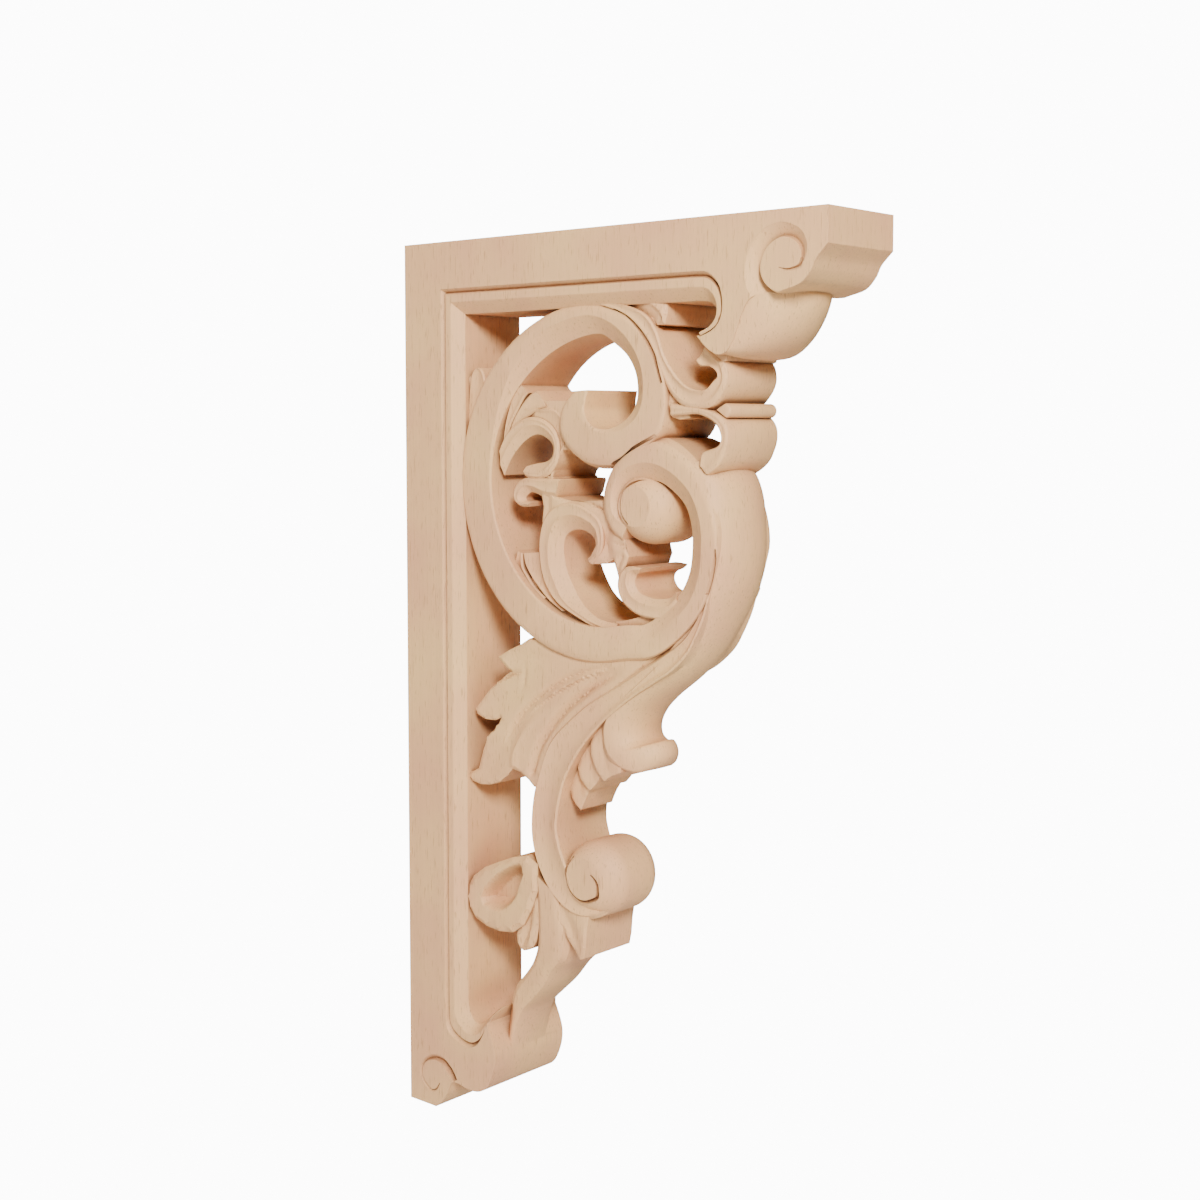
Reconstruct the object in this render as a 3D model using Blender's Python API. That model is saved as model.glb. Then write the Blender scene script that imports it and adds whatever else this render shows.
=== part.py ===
"""Carved beech corbel bracket: an L-shaped frame with a pierced scroll and acanthus carving.

The origin is the middle of the face that is fixed to the wall, which is the plane X = 0.
The bracket reaches out along +X and Z runs up the wall. The carving is the same on both
faces, mirrored about Y = 0, and the whole is one solid.
"""
import math

import bmesh
import bpy
import mathutils

MM = 0.001

# Driving dimensions, in millimetres
PROJECTION = 228.0        # wall face to the end of the top
HEIGHT = 394.0
THICKNESS = 45.0
STILE_WIDTH = 33.5        # wall face to the wall of the opening
RAIL_DEPTH = 32.0         # top face to the underside of the rail
SCROLL_RECESS = 4.0       # faces of the large scrolls below the frame's face
STEM_RECESS = 5.5
INNER_RECESS = 7.0        # the small hooks inside the ring
LEAF_RECESS = 7.0         # the acanthus leaves left of the stem
FRINGE_RECESS = 9.5       # the overlapping leaf tips right of the stem
QUIRK_DEPTH = 1.6         # the groove that frames the moulding
FILLET_DEPTH = 1.0        # the flat inside the groove
FILLET_WIDTH = 3.6
CHAMFER_DEPTH = 5.0       # the slope from the fillet to the wall of the opening

LAP = 0.11                # by which joined edges pass each other, so none coincide
STEPS = 3                 # lofted steps for each span between two rows of a pattern


def stretch(at, marks, places):
    """A coordinate of the pattern carried over to the bracket, evenly between its marks."""
    low = 0 if at < marks[1] else 1
    share = (at - marks[low]) / (marks[low + 1] - marks[low])
    return places[low] + share * (places[low + 1] - places[low])


def spot(x, z):
    """A point of the pattern as a place on the bracket.

    The pattern is the paper outline that every point below is measured on, in millimetres from
    the bottom of the wall face. It is stretched onto the bracket in two steps each way, so the
    carving always meets the stile and the rail.
    """
    return (stretch(x, (0.0, 33.5, 228.0), (0.0, STILE_WIDTH, PROJECTION)),
            stretch(z, (0.0, 362.0, 394.0), (0.0, HEIGHT - RAIL_DEPTH, HEIGHT)))


def arc(centre, radius, start, end, count):
    """Points on a circle of the pattern, angles in degrees from +X towards +Z."""
    angles = [math.radians(start + (end - start) * i / (count - 1)) for i in range(count)]
    return [(centre[0] + radius * math.cos(a), centre[1] + radius * math.sin(a)) for a in angles]


def flow(rows, steps=STEPS):
    """A smooth run through rows of numbers, each span cut into equal steps."""
    out = []
    for i in range(len(rows) - 1):
        a, b = rows[i], rows[i + 1]
        before = rows[i - 1] if i else [2 * p - q for p, q in zip(a, b)]
        after = rows[i + 2] if i + 2 < len(rows) else [2 * q - p for p, q in zip(a, b)]
        for k in range(steps):
            t = k / steps
            out.append([
                0.5 * (2 * p1 + (p2 - p0) * t + (2 * p0 - 5 * p1 + 4 * p2 - p3) * t * t
                       + (3 * p1 - p0 - 3 * p2 + p3) * t ** 3)
                for p0, p1, p2, p3 in zip(before, a, b, after)])
    return out + [list(rows[-1])]


def keyed(value, t):
    """A number, or evenly spaced values along 0 to 1 joined by straight steps."""
    if isinstance(value, (int, float)):
        return value
    place = t * (len(value) - 1)
    i = min(int(place), len(value) - 2)
    return value[i] + (value[i + 1] - value[i]) * (place - i)


def loft(name, rings):
    """One closed body through rings of (x, y, z) points in millimetres."""
    bm = bmesh.new()
    grid = [[bm.verts.new((x * MM, y * MM, z * MM)) for x, y, z in ring] for ring in rings]
    count = len(rings[0])
    for low, high in zip(grid, grid[1:]):
        for i in range(count):
            j = (i + 1) % count
            bm.faces.new((low[i], low[j], high[j], high[i]))
    bm.faces.new(reversed(grid[0]))
    bm.faces.new(grid[-1])
    bmesh.ops.triangulate(bm, faces=bm.faces[:])
    bmesh.ops.recalc_face_normals(bm, faces=bm.faces[:])
    mesh = bpy.data.meshes.new(name)
    bm.to_mesh(mesh)
    bm.free()
    piece = bpy.data.objects.new(name, mesh)
    PIECES.objects.link(piece)
    return piece


def band(name, rows, depth, left=(2.0, 2.0), right=(2.0, 2.0), dish=0.0, bulge=0.0):
    """A carved strap between two edges, the same on both faces.

    rows: (x, z) of the left edge then of the right edge, along the strap
    depth: of its arrises below the frame's face; dish: how far its middle is hollowed
    left, right: width and drop of the chamfer on each edge
    bulge: how far the right wall swells at mid-thickness
    """
    half = THICKNESS / 2
    rings = []
    for number, row in enumerate(rows):
        t = number / (len(rows) - 1)
        (ax, az), (bx, bz) = spot(row[0], row[1]), spot(row[2], row[3])
        width = max(math.hypot(bx - ax, bz - az), 0.2)
        ux, uz = (bx - ax) / width, (bz - az) / width
        face = keyed(depth, t)
        left_width = min(keyed(left[0], t), 0.35 * width)
        right_width = min(keyed(right[0], t), 0.35 * width)
        hollow = keyed(dish, t) * min(1.0, width / 8)
        left_drop = keyed(left[1], t) * left_width / max(keyed(left[0], t), 0.01)
        right_drop = keyed(right[1], t) * right_width / max(keyed(right[0], t), 0.01)
        swell = keyed(bulge, t)
        profile = [(0.0, face + left_drop), (left_width, face), (width / 2, face + hollow),
                   (width - right_width, face), (width, face + right_drop)]
        if bulge:
            low = face + right_drop
            profile += [(width + swell * 0.7, low + (half - low) * 0.3)]
            waist = [(width + swell, half)]
        else:
            waist = []
        front = [(s, -(half - d)) for s, d in profile]
        back = [(s, half - d) for s, d in reversed(profile)]
        section = front + [(s, 0.0) for s, _ in waist] + back
        rings.append([(ax + ux * s, y, az + uz * s) for s, y in section])
    return loft(name, rings)


def barrel(name, face_outline, waist_outline, depth, shoulder, layers=3):
    """A body through the thickness whose outline swells from its faces to its waist."""
    half = THICKNESS / 2
    levels = []
    for i in range(layers + 1):
        turn = math.radians(90 * i / layers)
        levels.append((math.sin(turn), shoulder * (1 - math.cos(turn))))
    rings = []
    for share, drop in levels + [(s, -d) for s, d in reversed(levels)]:
        ring = []
        for i, ((fx, fz), (wx, wz)) in enumerate(zip(face_outline, waist_outline)):
            deep = depth[i] if isinstance(depth, list) else depth
            y = half - deep - min(abs(drop), half - deep - 0.3)
            y = -y if (drop >= 0 and len(rings) <= layers) else y
            x, z = spot(fx + (wx - fx) * share, fz + (wz - fz) * share)
            ring.append((x, y, z))
        rings.append(ring)
    return loft(name, rings)


def plate(name, outline, depth):
    """A flat board of the pattern's outline, standing on its edge, drawn as a 2D curve."""
    curve = bpy.data.curves.new(name, "CURVE")
    curve.dimensions = "2D"
    curve.fill_mode = "BOTH"
    curve.extrude = (THICKNESS / 2 - depth) * MM
    spline = curve.splines.new("POLY")
    spline.points.add(len(outline) - 1)
    for point, (x, z) in zip(spline.points, outline):
        px, pz = spot(x, z)
        point.co = (px * MM, pz * MM, 0.0, 1.0)
    spline.use_cyclic_u = True
    drawn = bpy.data.objects.new(name, curve)
    drawn.rotation_euler = (math.radians(90), 0.0, 0.0)
    PIECES.objects.link(drawn)
    bpy.context.view_layer.update()
    mesh = bpy.data.meshes.new_from_object(drawn.evaluated_get(bpy.context.evaluated_depsgraph_get()))
    mesh.transform(drawn.matrix_world)
    bpy.data.objects.remove(drawn)
    bm = bmesh.new()
    bm.from_mesh(mesh)
    bmesh.ops.remove_doubles(bm, verts=bm.verts[:], dist=0.00001)
    bmesh.ops.recalc_face_normals(bm, faces=bm.faces[:])
    bm.to_mesh(mesh)
    bm.free()
    piece = bpy.data.objects.new(name, mesh)
    PIECES.objects.link(piece)
    return piece


def pairs(rows):
    """Rows written as two points each, as rows of four numbers."""
    return [[*a, *b] for a, b in rows]


def frame():
    """Stile, rail, foot and end block at full thickness, with the moulding of the opening."""
    # Rows of the groove line and of the opening's wall: up from the foot, and round the lip
    low = flow(pairs([
        ((50.5, 47), (55, 54)), ((47.5, 41.5), (49.5, 49.8)), ((43.5, 36.5), (44.5, 45)),
        ((38, 34.4), (39.5, 43)), ((31, 36), (35.6, 45.5)), ((25.8, 40), (33.7, 50.5)),
        ((24.8, 48), (33.5, 58))]), 2)
    corner = pairs([((24.8, 371.5), (33.5, 362))])
    lip = flow(pairs([
        ((165, 371.5), (165, 362)), ((172, 370.8), (170, 361.3)), ((177, 366.5), (172.5, 359.5)),
        ((178.8, 360.5), (173.8, 357.5)), ((178, 354.5), (173.3, 354.8)),
        ((174.5, 350.5), (170.5, 352)), ((168.5, 348), (167.3, 350.3))]), 2)
    moulding = low + corner + lip

    foot = flow([(17, 0), (21, 4), (24.3, 9.5), (25.2, 14), (27, 17), (31, 17.3), (36, 16.8),
                 (42, 17.3), (47, 19.5), (51, 24), (54, 30), (54.5, 35), (52.5, 40),
                 (50.5, 45)], 2)
    belly = flow([(167.3, 348), (170, 344), (174, 341), (180, 338.2), (187, 337)], 2)
    under_fascia = flow([(187, 350), (188.4, 358), (199, 363), (209, 364), (216, 366),
                         (220.5, 370.4), (223, 375), (227.5, 379.5)], 2)
    groove_line = [(row[0] + LAP, row[1] + LAP) for row in moulding]
    outline = ([(0, 0)] + foot + groove_line + belly + under_fascia
               + [(228, 380), (228, 394), (0, 394)])
    plate("frame_board", outline, 0.0)

    half = THICKNESS / 2
    rings = []
    for row in moulding:
        (ax, az), (bx, bz) = spot(row[0], row[1]), spot(row[2], row[3])
        width = math.hypot(bx - ax, bz - az)
        ux, uz = (bx - ax) / width, (bz - az) / width
        flat = FILLET_WIDTH * width / 8.7
        profile = [(-1.5, QUIRK_DEPTH), (0.5, QUIRK_DEPTH), (1.1, FILLET_DEPTH),
                   (min(1.1 + flat, width - 0.5), FILLET_DEPTH), (width, CHAMFER_DEPTH)]
        section = ([(s, -(half - d)) for s, d in profile]
                   + [(s, half - d) for s, d in reversed(profile)])
        rings.append([(ax + ux * s, y, az + uz * s) for s, y in section])
    loft("moulding", rings)

    # The round belly under the end block swells from the faces to its waist
    rim = flow([(176, 342), (181, 340), (185, 339), (189, 341.6), (189.5, 347), (189.5, 353),
                (191.4, 359.2), (194.6, 365.6), (203, 367), (201, 372), (183, 373), (182, 356)], 1)
    waist = flow([(176, 342), (181, 339.4), (189, 338.6), (198.5, 341.5), (205, 346.5),
                  (209, 352.5), (210.8, 359), (211, 363.5), (209, 367), (201, 372), (183, 373),
                  (182, 356)], 1)
    barrel("belly", rim, waist, 0.3, half, layers=4)


def ring_scroll():
    """The great C-scroll: a ring whose upper end hooks round inside itself."""
    outer = arc((107.5, 288.9), 75.8, 292, 92, 12)
    inner = arc((112.0, 290.0), 60.2, 292, 92, 12)
    bend = pairs([
        ((125.5, 359.3), (118, 346.6)), ((136.5, 350.3), (125.3, 341)),
        ((144.3, 338.5), (129.8, 333.4)), ((148.3, 325), (130.6, 324.5)),
        ((146, 311), (128, 317.8)), ((135.5, 302.5), (122, 313)), ((121, 296.8), (115, 311.4)),
        ((107, 295.8), (109, 312.8)), ((96, 301), (105.2, 316)), ((90, 309.5), (103.8, 319.5)),
        ((90.6, 319.5), (104, 323.5)), ((97, 327), (105, 327.8))])
    rows = flow(pairs(zip(outer, inner)) + bend, 2)
    band("ring_scroll", rows, [4.2, 4.0, 4.0, 4.0, 4.0, 4.5, 6.0, 6.0],
         left=([3, 2, 1.5, 3, 4.5, 3.0, 3.0, 2.0], [3, 2, 1.5, 3, 4.5, 3, 3.0, 2.0]),
         right=([0.6, 0.6, 0.6, 3.5, 8.0, 5.0, 4.0, 2.0], [0.4, 0.4, 0.4, 2.0, 4.0, 3.0, 1.5, 1.0]),
         dish=[0.5, 0.5, 0.3, 0.0, 0.0, 0.0, 0.8, 0.8])


def s_scroll():
    """The S-scroll that rises from the ring's foot and winds into its eye."""
    rows = flow(pairs([
        ((121, 230), (129, 200.5)), ((133, 231.2), (143, 209.3)), ((145.7, 237), (157, 219)),
        ((155, 245.7), (168, 234)), ((159.5, 254), (172.8, 248)), ((160.8, 263.6), (174.5, 262)),
        ((160, 273), (173.5, 277)), ((156.4, 281.4), (168.5, 291)), ((150, 287), (159, 301.5)),
        ((142, 290.7), (146, 308)), ((134, 290.7), (132, 306)), ((127.5, 288), (120.5, 298.5)),
        ((123.8, 283), (114.2, 288)), ((123.4, 278), (113.3, 277.5)), ((125, 275), (117, 269)),
        ((127.5, 273), (123, 264.8))]), 2)
    band("s_scroll", rows, [6.5, 4.5, 4.0, 4.0, 4.0, 4.0, 4.5, 6.0],
         left=([5, 5, 6, 5, 4, 3.5, 2, 0.6], [4, 4, 4, 3, 2.5, 2.0, 1.5, 1.5]),
         right=([1, 2, 3, 3, 3, 5, 5, 5], [1.5, 2.5, 3, 3, 3, 4, 4, 5]),
         bulge=[0, 3, 5, 5, 2, 0, 0, 0])
    barrel("eye", arc((132, 280), 8.5, 0, 337.5, 16), arc((133, 279.5), 15.5, 0, 337.5, 16),
           SCROLL_RECESS, 10.0)


def stem():
    """The long stem that falls from the S-scroll to the lower volute, and its curled leaf."""
    rows = flow(pairs([
        ((146, 221), (156, 217.5)), ((134, 214.8), (146, 210.5)), ((122, 209), (134, 203.5)),
        ((110, 201.5), (122, 196)), ((98, 191.5), (112, 187)), ((88, 180.5), (104, 177)),
        ((80, 169), (97.5, 167)), ((74.7, 157), (92, 156)), ((71.7, 145), (88.6, 146)),
        ((71.8, 133), (88.3, 136)), ((75.5, 121.5), (90.5, 129)), ((82, 111.5), (95, 123)),
        ((90.5, 105), (97.5, 114.5)), ((100, 102.4), (103.2, 111.6)), ((109, 104), (109.5, 112.5))]), 2)
    band("stem", rows, [5.0, STEM_RECESS, STEM_RECESS, STEM_RECESS, 5.0],
         left=(1.6, 2.5), right=(0.8, 0.6), dish=1.2)
    barrel("lower_volute", arc((103.5, 120.3), 9.3, 0, 340, 18), arc((104.8, 119.8), 16.2, 0, 340, 18),
           STEM_RECESS, 9.0)

    # Outer body of the S-scroll, round across the thickness, running down into the curled leaf
    back = flow(pairs([
        ((160, 232), (171, 231)), ((150, 217), (161, 219.5)), ((138, 208), (148, 208)),
        ((126, 200), (136.5, 201)), ((117, 194), (129.5, 193.5)), ((112.8, 187), (126.5, 186.5)),
        ((113, 179), (130.5, 180)), ((116.5, 172.6), (135, 178)), ((122, 169.2), (136.8, 173.5)),
        ((128, 168.6), (132.5, 169.6))]), 2)
    half = THICKNESS / 2
    rings = []
    for number, row in enumerate(back):
        t = number / (len(back) - 1)
        (ax, az), (bx, bz) = spot(row[0], row[1]), spot(row[2], row[3])
        reach = half - keyed([6.5, 7.5, 8.0, 8.5, 13.0], t)
        section = []
        for k in range(9):
            turn = math.radians(-90 + 180 * k / 8)
            share = 0.12 + 0.88 * math.cos(turn)
            section.append((ax + (bx - ax) * share, reach * math.sin(turn), az + (bz - az) * share))
        edge = [(ax, y, az) for y in (reach * 0.92, -reach * 0.92)]
        rings.append(section + edge)
    loft("curled_leaf", rings)


def fringe():
    """Overlapping leaf tips down the right of the stem."""
    tips = [
        [((115, 192), (119, 189)), ((109, 187), (116, 183)), ((105, 181), (115, 177)),
         ((104.8, 173), (116.5, 173)), ((107.5, 167), (118, 169.5)), ((112, 163.6), (115, 165))],
        [((105, 182.5), (110, 179)), ((99, 175.5), (107, 172)), ((96.8, 168.5), (108, 167)),
         ((98, 162), (108.5, 163.5)), ((101.8, 158), (104.5, 159.8))],
        [((99, 177), (102, 174)), ((94, 169), (100, 167)), ((91.3, 161), (100.5, 160)),
         ((91.2, 154.5), (100.5, 156)), ((95, 149.6), (98.8, 151.5))],
        [((96, 173), (100, 170)), ((89.5, 161), (95, 160)), ((86.5, 152), (92.5, 150.5))]]
    for number, rows in enumerate(tips):
        band(f"fringe_{number + 1}", flow(pairs(rows), 2), FRINGE_RECESS + 0.5 * number,
             left=(0.8, 0.6), right=(0.8, 0.6), dish=0.8)


def acanthus():
    """Three acanthus leaves that fan out to the left of the stem."""
    leaves = [
        [((127, 214.5), (126, 210)), ((95, 214.5), (95, 203.5)), ((78, 219.5), (79, 203)),
         ((68, 218), (69, 203.8)), ((58, 213.4), (59.5, 205.8)), ((50.8, 210.4), (51.4, 209.5))],
        [((126, 211.5), (125.3, 206.6)), ((98, 206.5), (95, 196)), ((78, 205.5), (79, 187)),
         ((63, 204.2), (66, 183)), ((51.5, 200), (58, 182)), ((44, 194), (50.5, 181.8)),
         ((38.5, 188.3), (42, 182.6)), ((36.2, 185.6), (37.5, 183.8))],
        [((124.4, 208.4), (123.4, 203.2)), ((97, 201), (94, 187)), ((78, 192), (81, 171)),
         ((62, 182), (74, 160)), ((49.5, 181), (64, 159)), ((43.5, 174), (54, 155)),
         ((40.5, 166), (45, 152.4)), ((37.5, 159), (37, 152.8)), ((31, 156.4), (31.5, 154))]]
    for number, rows in enumerate(leaves):
        band(f"acanthus_{number + 1}", flow(pairs(rows), 2), LEAF_RECESS + 0.47 * number,
             left=(1.0, 0.8), right=(1.0, 0.8), dish=1.5)


def inner_hooks():
    """Hooks, a small C-scroll and a cup that fill the ring."""
    upper = [((53, 300), (62, 299)), ((57, 310), (65, 306)), ((63, 315), (68.5, 308.7)),
             ((71, 316), (73.5, 309.8)), ((79, 314), (78.5, 308.7)), ((85, 308), (82.3, 305.5)),
             ((86.5, 301), (83.2, 301.5)), ((83, 294.3), (81.5, 297.8)), ((77, 291), (76, 296.8)),
             ((70.5, 290.6), (70, 296.3)), ((67, 293), (67.5, 294.8))]
    lower = [((88, 290.5), (86, 278)), ((79, 290.6), (77.5, 279.5)), ((72, 290.2), (72.5, 283)),
             ((66, 289), (68.5, 283.3)), ((61.8, 286), (67, 281.5)), ((61.2, 281), (66.5, 280)),
             ((64.5, 278), (68, 279.4))]
    c_scroll = [((107, 255.4), (103.3, 257)), ((110, 262), (106.7, 261.5)),
                ((109, 270), (104.7, 266.6)), ((102, 277), (99.5, 269)), ((92, 280), (94, 268.6)),
                ((83.5, 277), (89.5, 266)), ((77, 269), (87.5, 260)), ((75.7, 258), (88.7, 253)),
                ((77.5, 249), (92, 246.5)), ((83, 241), (97.5, 239.5)), ((91, 234), (103, 234)),
                ((101, 227), (110, 228.5))]
    cup = [((133.5, 254.8), (132, 252.8)), ((126, 255), (129.5, 251.5)), ((121.5, 251.5), (128.2, 249)),
           ((120.5, 246), (129, 246.5)), ((123, 240.5), (131, 244.3)), ((129, 236.3), (135, 243)),
           ((137, 234.4), (140, 242.4)), ((147, 235), (147, 243.2)), ((154, 240), (150, 246))]
    for name, rows in (("upper_hook", upper), ("lower_hook", lower), ("small_c", c_scroll),
                       ("cup", cup)):
        band(name, flow(pairs(rows), 2), INNER_RECESS, left=(1.2, 1.0), right=(0.8, 0.8), dish=0.8)

    # Trunks that tie the hooks to the ring and to each other
    band("upper_trunk", flow(pairs([
        ((70, 320.5), (65, 313.5)), ((80, 320.4), (77, 312.5)), ((89, 318), (83, 308)),
        ((92.5, 309), (86, 301)), ((95, 300), (84, 292.5))]), 2), 7.57)
    band("lower_trunk", flow(pairs([
        ((77.1, 284.5), (92, 288.6)), ((76.6, 275), (90, 280)), ((76.3, 266), (84, 272)),
        ((76, 260), (80, 264))]), 2), 7.63, left=(0.8, 0.8))
    plate("tie", [(95, 278), (111, 282), (116, 270), (124, 266), (124.5, 255), (121.5, 249.5),
                  (119.8, 250), (119, 254), (116.5, 256.4), (112, 255.2), (107, 255), (109, 261),
                  (108, 268), (102, 275)], 8.2)
    plate("upper_tie", [(86, 316), (96, 318), (99, 300), (92, 297), (85, 303)], 8.2)

    # Small leaves that lie along the ring's inside and outside
    slim = [
        [((54, 303), (56.5, 303)), ((55.6, 314), (59.5, 312.5)), ((59, 323), (64, 318.5)),
         ((62, 329.5), (68, 326)), ((63.6, 330.6), (67, 327.6))],
        [((57, 307), (59, 306)), ((60, 315), (64, 312)), ((65, 322), (70, 317)),
         ((69, 326.8), (72, 320.5))],
        [((64, 252), (68, 257.5)), ((68.5, 246.5), (77.5, 257.5)), ((74, 241), (79, 247.5)),
         ((82, 235.5), (84.5, 240.5)), ((91, 231.5), (92.5, 234.5))],
        [((31.5, 306), (38, 306)), ((33, 318), (41, 317)), ((35.5, 329), (45, 329)),
         ((40, 337.3), (47, 334.6))],
        [((30.5, 318), (34, 318)), ((31, 328), (36.5, 327)), ((33.5, 335), (38, 333.5))]]
    for number, rows in enumerate(slim):
        band(f"slim_leaf_{number + 1}", flow(pairs(rows), 2), 7.2 + 0.3 * number,
             left=(0.8, 0.6), right=(0.8, 0.6), dish=0.5)


def front_edge():
    """Branch, hooks, rolls and bead between the ring and the belly."""
    branch = [((114, 362.5), (114, 365)), ((125, 358.5), (126, 362.3)), ((133, 352.5), (138, 358)),
              ((140, 345), (145, 350)), ((144, 338.5), (148.5, 341)), ((146.5, 332), (153, 333.5)),
              ((150.5, 326.3), (158, 329.5)), ((156, 321.8), (164, 327.5)), ((163, 320), (169, 328.2)),
              ((170.5, 321.5), (172.3, 331)), ((175.5, 326), (172.8, 333.6)),
              ((176.6, 333), (170.5, 336)), ((173.5, 340), (166, 336.6)), ((168, 343.8), (163.4, 338.5))]
    band("branch", flow(pairs(branch), 2), [4.0, 4.0, 4.0, 5.0, 5.0, 5.0],
         left=([1.0, 1.0, 1.5, 4.0, 3.0, 2.0], [1.0, 1.0, 1.5, 3.5, 3, 2]), right=(0.8, 0.8), dish=0.8)
    lower = [((147, 326), (147, 318)), ((152, 321.5), (152, 316.5)), ((158, 319.8), (158, 315.3)),
             ((164.5, 319.5), (165, 315.8)), ((172, 318.3), (170.5, 315)), ((176.6, 314.5), (174, 312)),
             ((177.8, 308.5), (175.5, 308.5)), ((176.8, 302.5), (174, 305)), ((173.5, 297.5), (170, 303)),
             ((169, 296), (166.3, 301.5))]
    band("lip_hook", flow(pairs(lower), 2), 5.0, left=(1.5, 1.5), right=(0.8, 0.6), dish=0.5)
    plate("bead", [(160, 317.5), (166, 321), (178.3, 321.8), (180, 320), (180, 317), (178.2, 315.4),
                   (168, 316)], 5.5)
    plate("neck_of_belly", [(168, 342), (172, 346), (186, 345), (177, 333), (174, 335)], 5.5)
    band("under_rail", flow(pairs([
        ((108, 368), (112, 364)), ((125, 368), (126, 361)), ((138, 368), (138, 357)),
        ((146, 366), (144, 353.6)), ((150, 364), (149, 354.4))]), 2), 6.0, dish=0.8)


def foot_carving():
    """Cup, slim leaf, petal and neck between the lower volute and the foot."""
    neck = [((74, 118), (88, 110)), ((75.3, 106), (90, 103)), ((75.3, 95), (92, 94)),
            ((74.5, 86), (89, 82)), ((70.5, 77), (82, 74)), ((64.5, 70), (76, 66)),
            ((58, 63), (69, 59)), ((54.5, 55), (62, 52)), ((52.5, 46), (59, 47)),
            ((47, 38), (56, 38))]
    band("neck", flow(pairs(neck), 2), [5.5, 5.5, 6.0, 8.0, 10.0, 10.0],
         left=(1.5, 1.0), right=([4, 6, 6, 5, 3, 2], [3, 4, 4, 4, 3, 2]))
    cup = [((70, 124.5), (70.5, 120)), ((60, 120.3), (68.5, 113)), ((48, 115), (65, 106)),
           ((38, 109.8), (60, 101)), ((33.4, 103.6), (55, 98.8)), ((33.2, 97.5), (52, 98.6)),
           ((38, 91), (54, 98.5)), ((46, 88), (57, 98.8)), ((55, 88), (60.5, 100)),
           ((64, 90.2), (64.5, 102.5)), ((70, 96.5), (68.5, 107)), ((74.5, 105.5), (70.5, 112)),
           ((75, 113), (71, 117))]
    band("side_cup", flow(pairs(cup), 2), 4.5, left=(1.5, 1.2), right=(6.0, 5.0))
    plate("side_cup_floor", [(44, 110), (70.5, 121), (73, 108), (66, 98), (52, 93), (40, 100)], 13.0)
    plate("slim_leaf_foot", [(74.5, 106), (75.5, 95), (75, 85.5), (70.5, 83.3), (66, 82.3),
                             (63.6, 82.3), (64.4, 89), (67, 97), (70.5, 104)], 7.0)
    plate("petal", [(84, 106), (92, 97), (96.5, 88.5), (99.5, 84.8), (102, 84.6), (103.4, 88),
                    (104, 96), (103.6, 104), (94, 107)], 6.5)


def trench(name, rows, profile):
    """A trench along rows of (outer edge, inner edge), cut into both faces."""
    half = THICKNESS / 2
    for side in (-1, 1):
        rings = []
        for number, row in enumerate(rows):
            t = number / (len(rows) - 1)
            (ax, az), (bx, bz) = spot(row[0], row[1]), spot(row[2], row[3])
            deep = keyed(profile, t)
            bottom = (bx + (ax - bx) * 0.15, side * (half - deep), bz + (az - bz) * 0.15)
            rings.append([(ax, side * (half + 1.0), az), (ax, side * (half - 0.05), az), bottom,
                          (bx, side * (half - 0.05), bz), (bx, side * (half + 1.0), bz)])
        cutter = loft(f"{name}_{'front' if side < 0 else 'back'}", rings)
        PIECES.objects.unlink(cutter)
        CUTTERS.objects.link(cutter)


def groove(name, line, width, profile):
    """A V-shaped groove along a line of the pattern, its steep side on the right."""
    line = flow(line, 2)
    rows = []
    for i, (x, z) in enumerate(line):
        back, ahead = line[max(i - 1, 0)], line[min(i + 1, len(line) - 1)]
        dx, dz = ahead[0] - back[0], ahead[1] - back[1]
        reach = keyed(width, i / (len(line) - 1)) / 2 / math.hypot(dx, dz)
        rows.append([x - dz * reach, z + dx * reach, x + dz * reach, z - dx * reach])
    trench(name, rows, profile)


def volutes():
    """The spirals sunk into each face, on the end block and on the foot."""
    trench("end_hollow", flow(pairs([
        ((217.5, 374), (216.2, 374.5)), ((218.8, 380), (215.6, 379)), ((215.5, 386), (212, 382.6)),
        ((207.5, 389), (206.5, 383.4)), ((199, 387), (201, 380.5)), ((193, 381), (198.2, 376)),
        ((190.3, 373), (197.6, 371)), ((190.8, 364), (200, 366.5)), ((194.6, 357.8), (204.5, 363.5)),
        ((206, 361), (211, 363)), ((213, 362.5), (214, 363))]), 2),
        [0.6, 1.6, 2.2, 2.4, 2.8, 3.2, 3.4, 3.2, 2.6, 1.0, 0.5])
    groove("foot_spiral", [(19.5, 11.5), (17, 8), (13.5, 7), (9.5, 9.5), (7.3, 13), (8, 17.5),
                           (11, 21), (16, 23), (21.4, 22.6), (25, 20), (27.4, 17.8), (29.5, 15)],
           [0.8, 1.4, 1.6, 2.0, 3.4, 4.2, 3.6], [0.5, 0.9, 1.0, 1.4, 2.0, 3.2, 5.0])


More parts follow.
